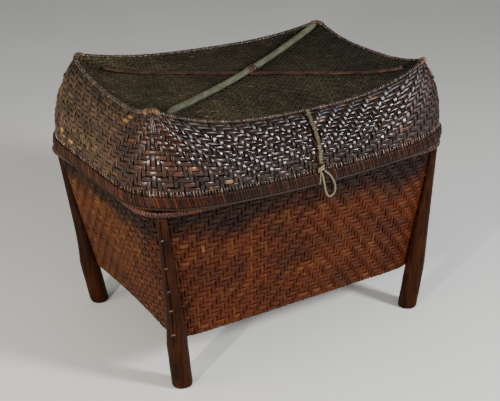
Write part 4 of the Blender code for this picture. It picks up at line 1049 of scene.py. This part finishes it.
def lash_edge(sizes):
    """The cane round the top edge with its lashing, and the wraps and strands at the corners."""
    grid = even_columns(edge_tube(EDGE_CORE))
    solid_hoop("edge_core", grid, "hoop_cane_core", "lid", ("lid_edge_cane",))
    tube = reader(grid, True, True)
    wraps("edge_lashing", tube, sizes.edge_lashings, 0.0, 1.0, 1.0, 0.8, 0.0011, 0.0004,
          "edge_lashing_cane", "lid", 59, samples=10, full=True)
    wall = reader(lid_skin(0.0, top=0.97))
    for k, (name, signs) in enumerate(CORNERS.items()):
        low, high = ring_shares(EDGE, signs, PEAK_WRAP_REACH)
        wide = reader(even_columns(edge_tube(EDGE_WRAPPED)), True, True)
        piece = wraps("peak_wrap_" + name, wide, 9, 0.0, 1.0, 0.6, 0.92, 0.0015, -0.0001,
                      "peak_lashing_cane", "lid", 61 + k, samples=12, span_u=(low, high),
                      full=True, uneven=0.08)
        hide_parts("peak_lashing_" + name)
        foot = lid_rows([0.0])[0]
        low, high = ring_shares(foot, signs, PEAK_STRAND_REACH)
        toward = signs[0] * signs[1] * (low - high) * PEAK_STRAND_SHIFT / (2 * PEAK_STRAND_REACH)
        low, high = low + toward, high + toward
        wraps("peak_strands_" + name, wall, 3, 0.99, 0.72, 0.0, 0.72, 0.002, 0.0014,
              "corner_strand_cane", "lid", 71 + k, samples=9, span_u=(low, high), uneven=0.04)
        tie_low, tie_high = ring_shares(foot, signs, PEAK_TIE_REACH)
        tie_low, tie_high = tie_low + toward, tie_high + toward
        u = np.linspace(tie_low, tie_high, 13)[None]
        v = np.array([[0.762], [0.74]]) + np.zeros_like(u)
        rise = 0.0022 - 0.0022 * (np.abs(np.linspace(-1.0, 1.0, 13)) ** 6)[None]
        lay_strips("peak_tie_" + name, wall, u, v, 0.0, 0.010, rise, 0.0018, False,
                   "hoop_cane_core", "lid", 81 + k)


def top_height(read, plan):
    """Height of the top under places in plan: the nearest of a dense reading of it."""
    half = np.abs(EDGE[SHORT, :2])
    share = plan / half
    for _ in range(12):
        spot, _ = read(share[:, 0] / 2 + 0.5, share[:, 1] / 2 + 0.5)
        share = share + (plan - spot[:, :2]) / half
    return read(share[:, 0] / 2 + 0.5, share[:, 1] / 2 + 0.5)[0][:, 2]


def bar_line(signs, share):
    """A bar's line in plan from one corner to the opposite one, and its sideways direction."""
    first, last = (INSIDE[TIPS[corner]] * BAR_END_SHARES[corner]
                   for corner in (signs, (-signs[0], -signs[1])))
    line = first + (last - first) * share
    way = unit(line[-1] - line[0])
    return line, np.array([-way[1], way[0]])


def lay_flat_bars(read, share):
    """The double flat bar: two strips beside a line that stays just clear of the top."""
    line, aside = bar_line((-1, 1), share)
    half = FLAT_BAR_GROOVE / 2 + FLAT_BAR_WIDTH
    ground = np.max([top_height(read, line + aside * side) for side in (-half, 0.0, half)], 0)
    smooth = np.convolve(np.pad(ground, 3, "edge"), np.ones(7) / 7, "valid")
    line = np.column_stack([line, np.maximum(ground, smooth) + FIT_GAP])
    section = rounded_block(FLAT_BAR_WIDTH, FLAT_BAR_THICKNESS, FLAT_BAR_THICKNESS / 3)
    section = section + (FLAT_BAR_GROOVE / 2, 0.0)
    for name, steps in (("front", section[::-1] * (-1, 1)), ("back", section)):
        grid = tube_grid(line, (*aside, 0.0), steps)
        capped_tube("flat_bar_" + name, grid, "flat_bar_cane", "lid", ("crossbar_flat_" + name,))
    return line


def lay_round_bar(read, share, crossing):
    """The half-round bar: its height runs evenly from end to end and rises to the crossing by
    1 - (2 share - 1)^2. Its section is an arch over two short feet."""
    line, aside = bar_line((-1, -1), share)
    half = ROUND_BAR_WIDTH / 2
    ends = [np.max([top_height(read, line[[k]] + aside * side) for side in (-half, 0.0, half)])
            for k in (0, -1)]
    height = ends[0] + (ends[1] - ends[0]) * share[:, 0] + FIT_GAP
    height += (crossing - height[BAR_PLACES // 2]) * (1.0 - (2.0 * share[:, 0] - 1.0) ** 2)
    line = np.column_stack([line, height])
    turn = np.linspace(0.0, np.pi, 15)
    arch = np.stack([half * np.cos(turn), ROUND_BAR_HEIGHT * (0.2 + 0.8 * np.sin(turn))], 1)
    under = half * 0.85
    section = np.concatenate([[(under, 0.0)], arch, [(-under, 0.0)]])
    taper = np.clip(np.minimum(share, 1.0 - share) * 14.0 + 0.62, 0.0, 1.0)[:, :, None]
    knobs = 1.0 + 0.02 * np.sin(share * 19.0 + 1.0) * np.sin(share * 53.0)
    grid = tube_grid(line, (*aside, 0.0), section[None] * taper * knobs[:, :, None])
    capped_tube("round_bar", grid, "round_bar_wood", "lid", ("crossbar_round",))
    return line, (*aside, 0.0), section


def tie_bars(line, aside, section):
    """Ties along the round bar, and three layers of wraps round both bars at the crossing."""
    host = reader(tube_grid(line, aside, section * 1.04).transpose(1, 0, 2), False)
    wraps("bar_ties", host, 26, 0.05, 0.3, 0.0, 0.16, 0.001, 0.0002, "hoop_cane_core", "lid",
          101, samples=6, span_u=(0.02, 0.98), uneven=0.2)
    reach = CROSSING_REACH / np.linalg.norm(line[-1] - line[0])
    round_all = section * 1.12
    round_all[[0, -1], 1] -= FLAT_BAR_THICKNESS
    strap = reader(tube_grid(line, aside, round_all).transpose(1, 0, 2), False)
    for k, (count, slant, lift) in enumerate(((5, 3.2, 0.0006), (5, -3.2, 0.0006), (6, 0.0, 0.0))):
        piece = wraps("crossing_wrap_%d" % (k + 1), strap, count, 0.0, 1.0, slant, 0.86, 0.0016,
                      lift, "crossing_tie_cane", "lid", 103 + k, samples=15,
                      span_u=(0.5 - reach, 0.5 + reach), uneven=0.1)
        if k == 0:
            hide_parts("crossing_lashing")


def lay_bars():
    """The half-round bar over the double flat bar, their ties and the lashing round both."""
    read = reader(top_skin(TOP_THICKNESS / 2), False)
    share = np.linspace(0.0, 1.0, BAR_PLACES)[:, None]
    flat = lay_flat_bars(read, share)
    crossing = flat[BAR_PLACES // 2, 2] + FLAT_BAR_THICKNESS + FIT_GAP
    tie_bars(*lay_round_bar(read, share, crossing))


def stake_lean(signs):
    """How far a stake leans in plan for each metre of height."""
    return (LEDGE_RING - BASE_RING)[TIPS[signs]] / LEDGE_HEIGHT


def corner_axes(ring, signs):
    """A ring's corner tip, its outward direction, and the one square to it toward the long side."""
    outward = mitres(ring)[TIPS[signs]]
    along = np.array([-signs[0] * abs(outward[1]), signs[1] * abs(outward[0])])
    return ring[TIPS[signs]], outward, along


def laid_out(axes, along, out):
    """Places in plan that lie so far along and out from a corner's tip."""
    tip, outward, toward_long = axes
    return tip + np.outer(along, toward_long) + np.outer(out, outward)


def stake_rows(signs, levels, turn):
    """Sections of a stake from the body's foot to its strip's top: at each level the corner's
    axes, the wall's ring, the places along and out from the tip, and the height."""
    shares, widths = zip(*STAKE_TAPER_SHARES)
    tip, base_out, base_along = corner_axes(BASE_RING, signs)
    axis = np.array(signs) * FOOT_HALF + stake_lean(signs) * BASE_HEIGHT - tip
    post_reach = axis @ base_out + POST_RADIUS
    post_shift = axis @ base_along
    bottom = BASE_HEIGHT - FIT_GAP
    run = LEDGE_HEIGHT - LEDGE_HOOP_HEIGHT / 2 - SEAT_GAP - bottom
    for level in levels:
        height = bottom + run * level
        ring = body_ring(height)
        half_width = POST_RADIUS * np.interp(level, shares, widths)
        reach = post_reach + (STAKE_TOP_REACH - post_reach) * level
        half_depth = POST_RADIUS + (STAKE_TOP_REACH - POST_RADIUS) * level
        along = half_width * np.cos(turn) + post_shift * max(0.0, 1.0 - level / 0.3) ** 2
        out = reach - half_depth + half_depth * np.sin(turn)
        yield corner_axes(ring, signs), ring, along, out, height


def on_wall(axes, ring, along, out):
    """Places laid out from a corner, raised to where the wall's line, moved out by the seat gap,
    is in the way."""
    tip, outward, toward_long = axes
    line = ring + mitres(ring) * SEAT_GAP - tip
    across, up = line @ toward_long, line @ outward
    near = (np.abs(across) < 0.06) & (up > -0.08)
    order = np.argsort(across[near])
    wall = np.interp(along, across[near][order], up[near][order])
    return laid_out(axes, along, np.maximum(out, wall))


def post_rows(signs, turn, seed):
    """Sections of a stake's round post, with a worn foot and a faint roughness, up to the body."""
    wave = np.random.default_rng(seed).random(4) * 6.0
    lean = stake_lean(signs)
    _, outward, toward_long = corner_axes(BASE_RING, signs)
    top = BASE_HEIGHT - FIT_GAP - 0.0004
    scales = [(0.0, 0.84), (0.0006, 0.9), (0.0016, 0.955), (0.003, 0.985), (0.005, 1.0)]
    scales += [(height, 1.0) for height in np.linspace(0.012, top - 0.003, 14)] + [(top, 0.985)]
    rows = []
    for height, scale in scales:
        rough = np.sin(3 * turn + wave[0] + height * 60) * np.sin(height * 90 + wave[1])
        radius = POST_RADIUS * scale * np.minimum(1.0 + 0.018 * rough, 1.0 + 0.012)
        axes = np.array(signs) * FOOT_HALF + lean * height, outward, toward_long
        rows.append(at_height(laid_out(axes, radius * np.cos(turn), radius * np.sin(turn)), height))
    return rows


def stitch_stake(name, hosts, split_turn, k):
    """Short stitches up a stake, across the split between it and its batten."""
    rng = np.random.default_rng(131 + k)
    v = np.arange(STAKE_STITCHES)[:, None] + 0.62 + rng.normal(0.0, 0.08, (STAKE_STITCHES, 1))
    share = np.linspace(-1.0, 1.0, 7)[None]
    rise = 0.0003 - 0.0009 * np.abs(share) ** 4
    lay_strips("stake_stitches_" + name, reader(hosts), split_turn + share * 0.04,
               v / STAKE_STITCHES + share * 0.004, 0.0, 0.0062, rise, 0.0011, False,
               "stitch_cane", "basket", 141 + k)


def shape_stakes():
    """The four corner stakes: round posts below, strips with battens and stitches above."""
    turn = angles(STAKE_SIDES)
    start = 0.005 / (LEDGE_HEIGHT - BASE_HEIGHT)
    levels = np.concatenate([[0.0, start * 0.6, start, start * 1.03],
                             np.linspace(0.03, 0.985, 30), [0.993, 1.0]])
    scales = np.ones(len(levels))
    scales[-2:] = 0.93, 0.8
    for k, (name, signs) in enumerate(CORNERS.items()):
        stake, batten, hosts = post_rows(signs, turn, 111 + k), [], []
        for level, scale, (axes, ring, along, out, height) in zip(
                levels, scales, stake_rows(signs, levels, turn)):
            half = (along.max() - along.min()) / 2
            split = along.mean() + half * (2.0 * BATTEN_SHARE - 1.0)
            along = along.mean() + (along - along.mean()) * scale
            out = out - (1.0 - scale) * 0.004
            cut = split + SPLIT_GAP if level > start else along.min()
            stake.append(at_height(on_wall(axes, ring, np.maximum(along, cut), out), height))
            if level > start:
                strip = on_wall(axes, ring, np.minimum(along, split - SPLIT_GAP), out)
                batten.append(at_height(strip, height + FIT_GAP))
                hosts.append(at_height(laid_out(axes, along, out), height))
        split_turn = math.acos(2.0 * BATTEN_SHARE - 1.0) / (2.0 * math.pi)
        stake, batten, hosts = map(np.array, (stake, batten, hosts))
        if signs[0] == signs[1]:
            stake, batten, hosts = stake[:, ::-1], batten[:, ::-1], hosts[:, ::-1]
            split_turn = (STAKE_SIDES - 1) / STAKE_SIDES - split_turn
        crisp(capped_tube("stake_" + name, stake, "stake_wood_dark", "basket", ("leg_" + name,)))
        crisp(capped_tube("split_strip_" + name, batten, "batten_wood", "basket",
                          ("batten_" + name,)))
        stitch_stake(name, hosts, split_turn, k)


# Route of the loop from its hinge line, in metres
LOOP_PIVOT = (0.0, -0.2024, 0.33015)
LOOP_ROUTE = (
    (-0.0004, 0.0014, -0.0062), (0.0003, 0.0030, -0.0098), (0.0012, 0.0037, -0.0140),
    (0.0022, 0.0037, -0.0185), (0.0035, 0.0037, -0.0235), (0.0048, 0.0036, -0.0285),
    (0.0061, 0.0034, -0.0335), (0.0074, 0.0032, -0.0383), (0.0092, 0.0029, -0.0428),
    (0.0119, 0.0027, -0.0468), (0.0153, 0.0024, -0.0490), (0.0187, 0.0023, -0.0492),
    (0.0220, 0.0023, -0.0474), (0.0243, 0.0025, -0.0442), (0.0254, 0.0028, -0.0403),
    (0.0252, 0.0031, -0.0357), (0.0241, 0.0034, -0.0309), (0.0224, 0.0036, -0.0263),
    (0.0203, 0.0037, -0.0220), (0.0179, 0.0037, -0.0178), (0.0152, 0.0037, -0.0138),
    (0.0121, 0.0036, -0.0105), (0.0090, 0.0025, -0.0076), (0.0062, 0.0007, -0.0049),
)


def smooth_run(points, count):
    """Even places on a cubic through the points, with slopes from their neighbours."""
    points = np.asarray(points, float)
    length = run_length(points)
    slope = np.gradient(points, length, axis=0)
    fine = np.linspace(0.0, length[-1], 40 * len(points))
    at = np.clip(np.searchsorted(length, fine, side="right") - 1, 0, len(points) - 2)
    step = (length[at + 1] - length[at])[:, None]
    s = (fine - length[at])[:, None] / step
    curve = ((2 * s ** 3 - 3 * s ** 2 + 1) * points[at]
             + (s ** 3 - 2 * s ** 2 + s) * step * slope[at]
             + (3 * s ** 2 - 2 * s ** 3) * points[at + 1]
             + (s ** 3 - s ** 2) * step * slope[at + 1])
    far = run_length(curve)
    even = np.linspace(0.0, far[-1], count)
    return np.stack([np.interp(even, far, line) for line in curve.T], 1), far[-1]


def plies(diameter, twist, depth, sides):
    """Sections and tones of a twisted cord: radius r (1 - depth + depth cos(plies (angle -
    twist)))."""
    angle = angles(sides)
    wave = np.cos(PLIES * (angle[None] - twist[:, None]))
    radius = diameter / 2 * (1.0 - depth + depth * wave)
    tone = np.zeros((len(twist), sides, 4))
    tone[..., 0] = 0.5 + 0.5 * wave
    tone[..., 1] = 0.5 + 0.5 * np.sin(np.arange(len(twist)) * 1.7)[:, None]
    tone[..., 3] = 1.0
    return np.stack([radius * np.cos(angle), radius * np.sin(angle)], -1), tone


def plied_tube(path, side, diameter, turns, depth, sides):
    """A twisted cord along a path, its twist rising evenly, with its tone."""
    twist = np.linspace(0.0, turns * 2.0 * math.pi, len(path))
    section, tone = plies(diameter, twist, depth, sides)
    return tube_grid(path, side, section), tone


def plied_ring(ring, upward, diameter, turns, depth=0.14, sides=10):
    """The same cord closed on itself round a ring, with its tone."""
    run = unit(np.roll(ring, -1, 0) - np.roll(ring, 1, 0))
    side = unit(np.cross(run, upward))
    section, tone = plies(diameter, angles(len(ring)) * turns, depth, sides)
    return carried(ring, side, np.cross(side, run), section), tone


def cord_points():
    """Places of the closure cord's solid."""
    solid = bpy.data.objects[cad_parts["closure_cord"].name]
    return np.array([solid.matrix_world @ vertex.co for vertex in solid.data.vertices])


def tie_closure():
    """The bound cord down the lid's front, its knot, its short end and the hanging loop."""
    path, length = smooth_run(cord_line(cord_points())[4:], 150)
    grid, tone = plied_tube(path, (1.0, 0.0, 0.0), CORD_CORE, 0.0, 0.12, 16)
    tone[..., :2] *= 0.3
    capped_tube("closure_twist", grid, "straw_cord_strand", "lid", ("closure_cord",), tone,
                length * 40)
    surface = reader(grid.transpose(1, 0, 2)[::-1], False, True)
    wraps("closure_binding", surface, int(length / BINDING_PITCH), 0.0, 1.0, 0.5, 0.68, 0.0018,
          0.0005, "straw_cord_strand", "lid", 151, samples=12, span_u=(0.01, 0.99), full=True,
          uneven=0.07)

    knot = np.array(LOOP_PIVOT)
    turn = angles(KNOT_PLACES)
    for k, (tilt, wide, tall, shift) in enumerate((
            (0.35, 0.0046, 0.0042, 0.0014), (-0.55, 0.0044, 0.0044, -0.0012),
            (0.1, 0.0047, 0.003, -0.0032))):
        ring = knot + np.stack([wide * np.cos(turn), -0.0022 * np.sin(turn) - 0.0003,
                                tall * 0.55 * np.sin(turn + 0.6) + shift
                                + tilt * wide * np.cos(turn) * 0.6], 1)
        tube, tone = plied_ring(ring, (0.0, 0.3, 1.0), 0.0032, 5)
        faces = quads_of(*tube.shape[:2], True, True)[:, ::-1].tolist()
        piece = make_piece("knot_turn_%d" % (k + 1), tube, faces, "straw_cord_strand", "lid",
                           None, tone)
        if k == 0:
            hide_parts("closure_knot")

    tail = [knot + np.array(p) for p in ((-0.0022, -0.0028, -0.0040), (-0.0040, -0.0046, -0.0085),
                                         (-0.0046, -0.0050, -0.0130), (-0.0042, -0.0048, -0.0185),
                                         (-0.0050, -0.0047, -0.0235))]
    path, length = smooth_run(tail, 40)
    grid, tone = plied_tube(path, (1.0, 0.0, 0.0), 0.0022, 5, 0.2, 10)
    capped_tube("knot_tail", grid, "straw_cord_strand", "lid", (), tone, 1.0)

    places = [(LOOP_PIVOT[0] + across, LOOP_PIVOT[1] - out, LOOP_PIVOT[2] + up)
              for across, out, up in LOOP_ROUTE]
    path, length = smooth_run(places, 180)
    grid, tone = plied_tube(path, (0.0, 1.0, 0.0), LOOP_DIAMETER, length / LOOP_PITCH, 0.13, 12)
    loop = capped_tube("cord_loop", grid, "straw_cord_strand", "loop", ("closure_loop",), tone,
                       length * 60)


def cord_line(spots):
    """Middle places of a cord's solid: its points sorted along the way, each ring's mean."""
    middle = np.array([0.0, -0.150, 0.36])
    angle = np.arctan2(spots[:, 2] - middle[2], -(spots[:, 1] - middle[1]))
    edges = np.linspace(angle.min(), angle.max(), 27)
    found = []
    for low, high in zip(edges[:-1], edges[1:]):
        inside = (angle >= low) & (angle <= high)
        if inside.sum() >= 8:
            found.append(spots[inside].mean(0) * (0.0, 1.0, 1.0))
    return np.array(found)[::-1]


def place_item(name, data, right, up, back, place):
    """A new object whose axes are the three directions given, at a place."""
    item = bpy.data.objects.new(name, data)
    item.matrix_world = Matrix([*zip(right, up, back, place), (0.0, 0.0, 0.0, 1.0)])
    bpy.context.collection.objects.link(item)
    return item


def place_lamp(name, place, aim, size, power, colour):
    """A rectangular light at a place, turned to face an aim."""
    light = bpy.data.lights.new(name, "AREA")
    light.shape = "RECTANGLE"
    light.size, light.size_y = size
    light.energy = power
    light.color = colour
    back = unit(np.array(place) - np.array(aim))
    right = unit(np.cross((0.0, 0.0, 1.0), back))
    place_item(name, light, right, np.cross(back, right), back, place)


# Name, place, aim, width and height, watts and colour
LAMPS = (
    ("window", (0.92, -1.7, 1.3), (0.0, -0.1, 0.3), (0.34, 0.45), 60.0, (0.93, 0.96, 1.0)),
    ("near_glint", (-1.75, -1.1, 0.8), (-0.2, -0.1, 0.35), (0.1, 0.26), 34.0, (1.0, 0.97, 0.92)),
    ("left_fill", (-1.8, 0.1, 1.3), (0.0, 0.0, 0.25), (1.2, 1.2), 17.0, (1.0, 0.93, 0.8)),
    ("front_fill", (-0.4, -2.4, 0.9), (0.0, 0.0, 0.2), (1.6, 1.0), 8.0, (1.0, 0.93, 0.82)),
)

# The camera fitted to the photograph: focal length and width in pixels, angles in degrees
FOCAL_PIXELS, WIDTH_PIXELS, SENSOR_WIDTH = 983.135, 500.0, 36.0
CAMERA_TURN = (-31.6353, 23.96, -0.5202)
CAMERA_PLACE = (-0.81624524, -1.32076752, 0.89118964)


def set_stage(colours):
    """Pale floor, soft lights, world and the camera at the photograph's angle."""
    x, y = np.meshgrid(np.linspace(-6.0, 6.0, 25), np.linspace(-6.0, 6.0, 25))
    points = np.stack([x, y, np.zeros_like(x)], -1)
    mesh = bpy.data.meshes.new("floor")
    mesh.from_pydata(points.reshape(-1, 3), [], quads_of(25, 25, False, False).tolist())
    mesh.materials.append(floor_finish(tuple(colours.floor)))
    floor = bpy.data.objects.new("floor", mesh)
    bpy.context.collection.objects.link(floor)

    world = bpy.data.worlds.new("soft_sky")
    world.use_nodes = True
    world.node_tree.nodes["Background"].inputs[0].default_value = (0.97, 0.98, 1.0, 1.0)
    world.node_tree.nodes["Background"].inputs[1].default_value = 0.34
    bpy.context.scene.world = world

    for lamp in LAMPS:
        place_lamp(*lamp)

    azimuth, elevation, roll = map(math.radians, CAMERA_TURN)
    back = np.array([math.sin(azimuth) * math.cos(elevation),
                     -math.cos(azimuth) * math.cos(elevation), math.sin(elevation)])
    right = np.array([math.cos(azimuth), math.sin(azimuth), 0.0])
    up = np.cross(back, right)
    right, up = (math.cos(roll) * right + math.sin(roll) * up,
                 -math.sin(roll) * right + math.cos(roll) * up)
    lens = bpy.data.cameras.new("photograph")
    lens.sensor_width = SENSOR_WIDTH
    lens.lens = FOCAL_PIXELS * SENSOR_WIDTH / WIDTH_PIXELS
    camera = place_item("photograph", lens, right, up, back, CAMERA_PLACE)
    bpy.context.scene.camera = camera


# The add-on's settings, operators and panel

def counted(name, description, default, least):
    """A whole number of strips or wraps."""
    return bpy.props.IntProperty(name=name, description=description, default=default, min=least)


def thickness_of(name, description, default):
    """A strip's thickness."""
    return bpy.props.FloatProperty(name=name, description=description, default=default,
                                   min=0.0004, max=0.003, unit="LENGTH", precision=4)


def toned(name, description, default):
    """A colour."""
    return bpy.props.FloatVectorProperty(name=name, description=description, default=default,
                                         subtype="COLOR", size=3, min=0.0, max=1.0)


class BasketSizes(bpy.types.PropertyGroup):
    """Counts and thicknesses of the plaiting"""

    body_rows: counted("Body rows", "Weavers from the body's foot to its mouth", 39, 8)
    body_stakes: counted("Body stakes", "Stakes round the body, a multiple of eight", 248, 24)
    lid_rows: counted("Lid rows", "Weavers from the rim to the top edge", 19, 6)
    lid_stakes: counted("Lid stakes", "Stakes round the lid, a multiple of eight", 232, 24)
    top_rows: counted("Top rows", "Weavers across the depth of the top", 64, 8)
    top_stakes: counted("Top stakes", "Stakes along the length of the top", 90, 8)
    rim_lashings: counted("Rim lashings", "Slanting wraps round the rim", 372, 40)
    edge_lashings: counted("Edge lashings", "Wraps round the cane of the top edge", 500, 40)
    strip_thickness: thickness_of(
        "Body strip thickness", "Thickness of the body's plaited strips", 0.0014)
    lid_strip_thickness: thickness_of(
        "Lid strip thickness", "Thickness of the lid's plaited strips", 0.0016)


class BasketColours(bpy.types.PropertyGroup):
    """Colours of the cane, wood and floor"""

    body: toned("Body", "Reddish brown of the body", (0.08, 0.0152, 0.0022))
    lid: toned("Lid", "Near black brown of the lid's side", (0.026, 0.0125, 0.0078))
    top: toned("Top", "Dark olive brown of the lid's top", (0.035, 0.029, 0.0165))
    honey: toned("Honey", "Pale worn strips", (0.24, 0.12, 0.045))
    stake: toned("Stakes", "Dark wood of the corner stakes", (0.0135, 0.0038, 0.0011))
    floor: toned("Floor", "Pale floor", (0.72, 0.71, 0.68))


class BASKET_OT_finishes(bpy.types.Operator):
    """Make the cane, wood and cord finishes"""

    bl_idname = "basket.finishes"
    bl_label = "Make finishes"

    def execute(self, context):
        make_finishes(context.scene.basket_colours)
        return {"FINISHED"}


class BASKET_OT_body(bpy.types.Operator):
    """Plait the body's wall and base"""

    bl_idname = "basket.body"
    bl_label = "Plait body"

    def execute(self, context):
        plait_body(context.scene.basket_sizes)
        return {"FINISHED"}


class BASKET_OT_ledge(bpy.types.Operator):
    """Wind the ledge hoop and the hoops of the mouth"""

    bl_idname = "basket.ledge"
    bl_label = "Wind ledge and mouth"

    def execute(self, context):
        lash_ledge(context.scene.basket_sizes)
        return {"FINISHED"}


class BASKET_OT_stakes(bpy.types.Operator):
    """Shape the corner stakes with their battens and stitches"""

    bl_idname = "basket.stakes"
    bl_label = "Shape stakes"

    def execute(self, context):
        shape_stakes()
        return {"FINISHED"}


class BASKET_OT_lid(bpy.types.Operator):
    """Plait the lid's wall and top"""

    bl_idname = "basket.lid"
    bl_label = "Plait lid"

    def execute(self, context):
        plait_lid(context.scene.basket_sizes)
        return {"FINISHED"}


class BASKET_OT_rim(bpy.types.Operator):
    """Lash the lid's rim and its inner stop hoop"""

    bl_idname = "basket.rim"
    bl_label = "Lash rim"

    def execute(self, context):
        lash_rim(context.scene.basket_sizes)
        return {"FINISHED"}


class BASKET_OT_edge(bpy.types.Operator):
    """Lash the top edge and its raised corners"""

    bl_idname = "basket.edge"
    bl_label = "Lash top edge"

    def execute(self, context):
        lash_edge(context.scene.basket_sizes)
        return {"FINISHED"}


class BASKET_OT_bars(bpy.types.Operator):
    """Lay the crossed bars and tie them"""

    bl_idname = "basket.bars"
    bl_label = "Lay bars"

    def execute(self, context):
        lay_bars()
        return {"FINISHED"}


class BASKET_OT_closure(bpy.types.Operator):
    """Tie the closure cord, its knot and its loop"""

    bl_idname = "basket.closure"
    bl_label = "Tie closure"

    def execute(self, context):
        tie_closure()
        return {"FINISHED"}


class BASKET_OT_stage(bpy.types.Operator):
    """Set the floor, lights, world and camera"""

    bl_idname = "basket.stage"
    bl_label = "Set stage"

    def execute(self, context):
        set_stage(context.scene.basket_colours)
        return {"FINISHED"}


OPERATORS = (BASKET_OT_finishes, BASKET_OT_stage, BASKET_OT_closure, BASKET_OT_body,
             BASKET_OT_ledge, BASKET_OT_stakes, BASKET_OT_lid, BASKET_OT_rim, BASKET_OT_edge,
             BASKET_OT_bars)


class BASKET_PT_panel(bpy.types.Panel):
    """Settings and steps of the basket"""

    bl_idname = "BASKET_PT_panel"
    bl_label = "Plaited Basket"
    bl_space_type = "VIEW_3D"
    bl_region_type = "UI"
    bl_category = "Basket"

    def draw(self, context):
        column = self.layout.column()
        for settings in (context.scene.basket_sizes, context.scene.basket_colours):
            for name in settings.__annotations__:
                column.prop(settings, name)
        for operator in OPERATORS:
            column.operator(operator.bl_idname)


CLASSES = (BasketSizes, BasketColours, *OPERATORS, BASKET_PT_panel)


def register():
    """Register the classes and hang their settings on the scene."""
    for item in CLASSES:
        bpy.utils.register_class(item)
    bpy.types.Scene.basket_sizes = bpy.props.PointerProperty(type=BasketSizes)
    bpy.types.Scene.basket_colours = bpy.props.PointerProperty(type=BasketColours)


def unregister():
    """Take the settings and classes away again."""
    del bpy.types.Scene.basket_colours
    del bpy.types.Scene.basket_sizes
    for item in reversed(CLASSES):
        bpy.utils.unregister_class(item)


def main():
    """Build every piece in order."""
    register()
    bpy.ops.basket.finishes()
    bpy.ops.basket.stage()
    bpy.ops.basket.closure()
    bpy.ops.basket.body()
    bpy.ops.basket.ledge()
    bpy.ops.basket.stakes()
    bpy.ops.basket.lid()
    bpy.ops.basket.rim()
    bpy.ops.basket.edge()
    bpy.ops.basket.bars()


if __name__ == "__main__":
    main()
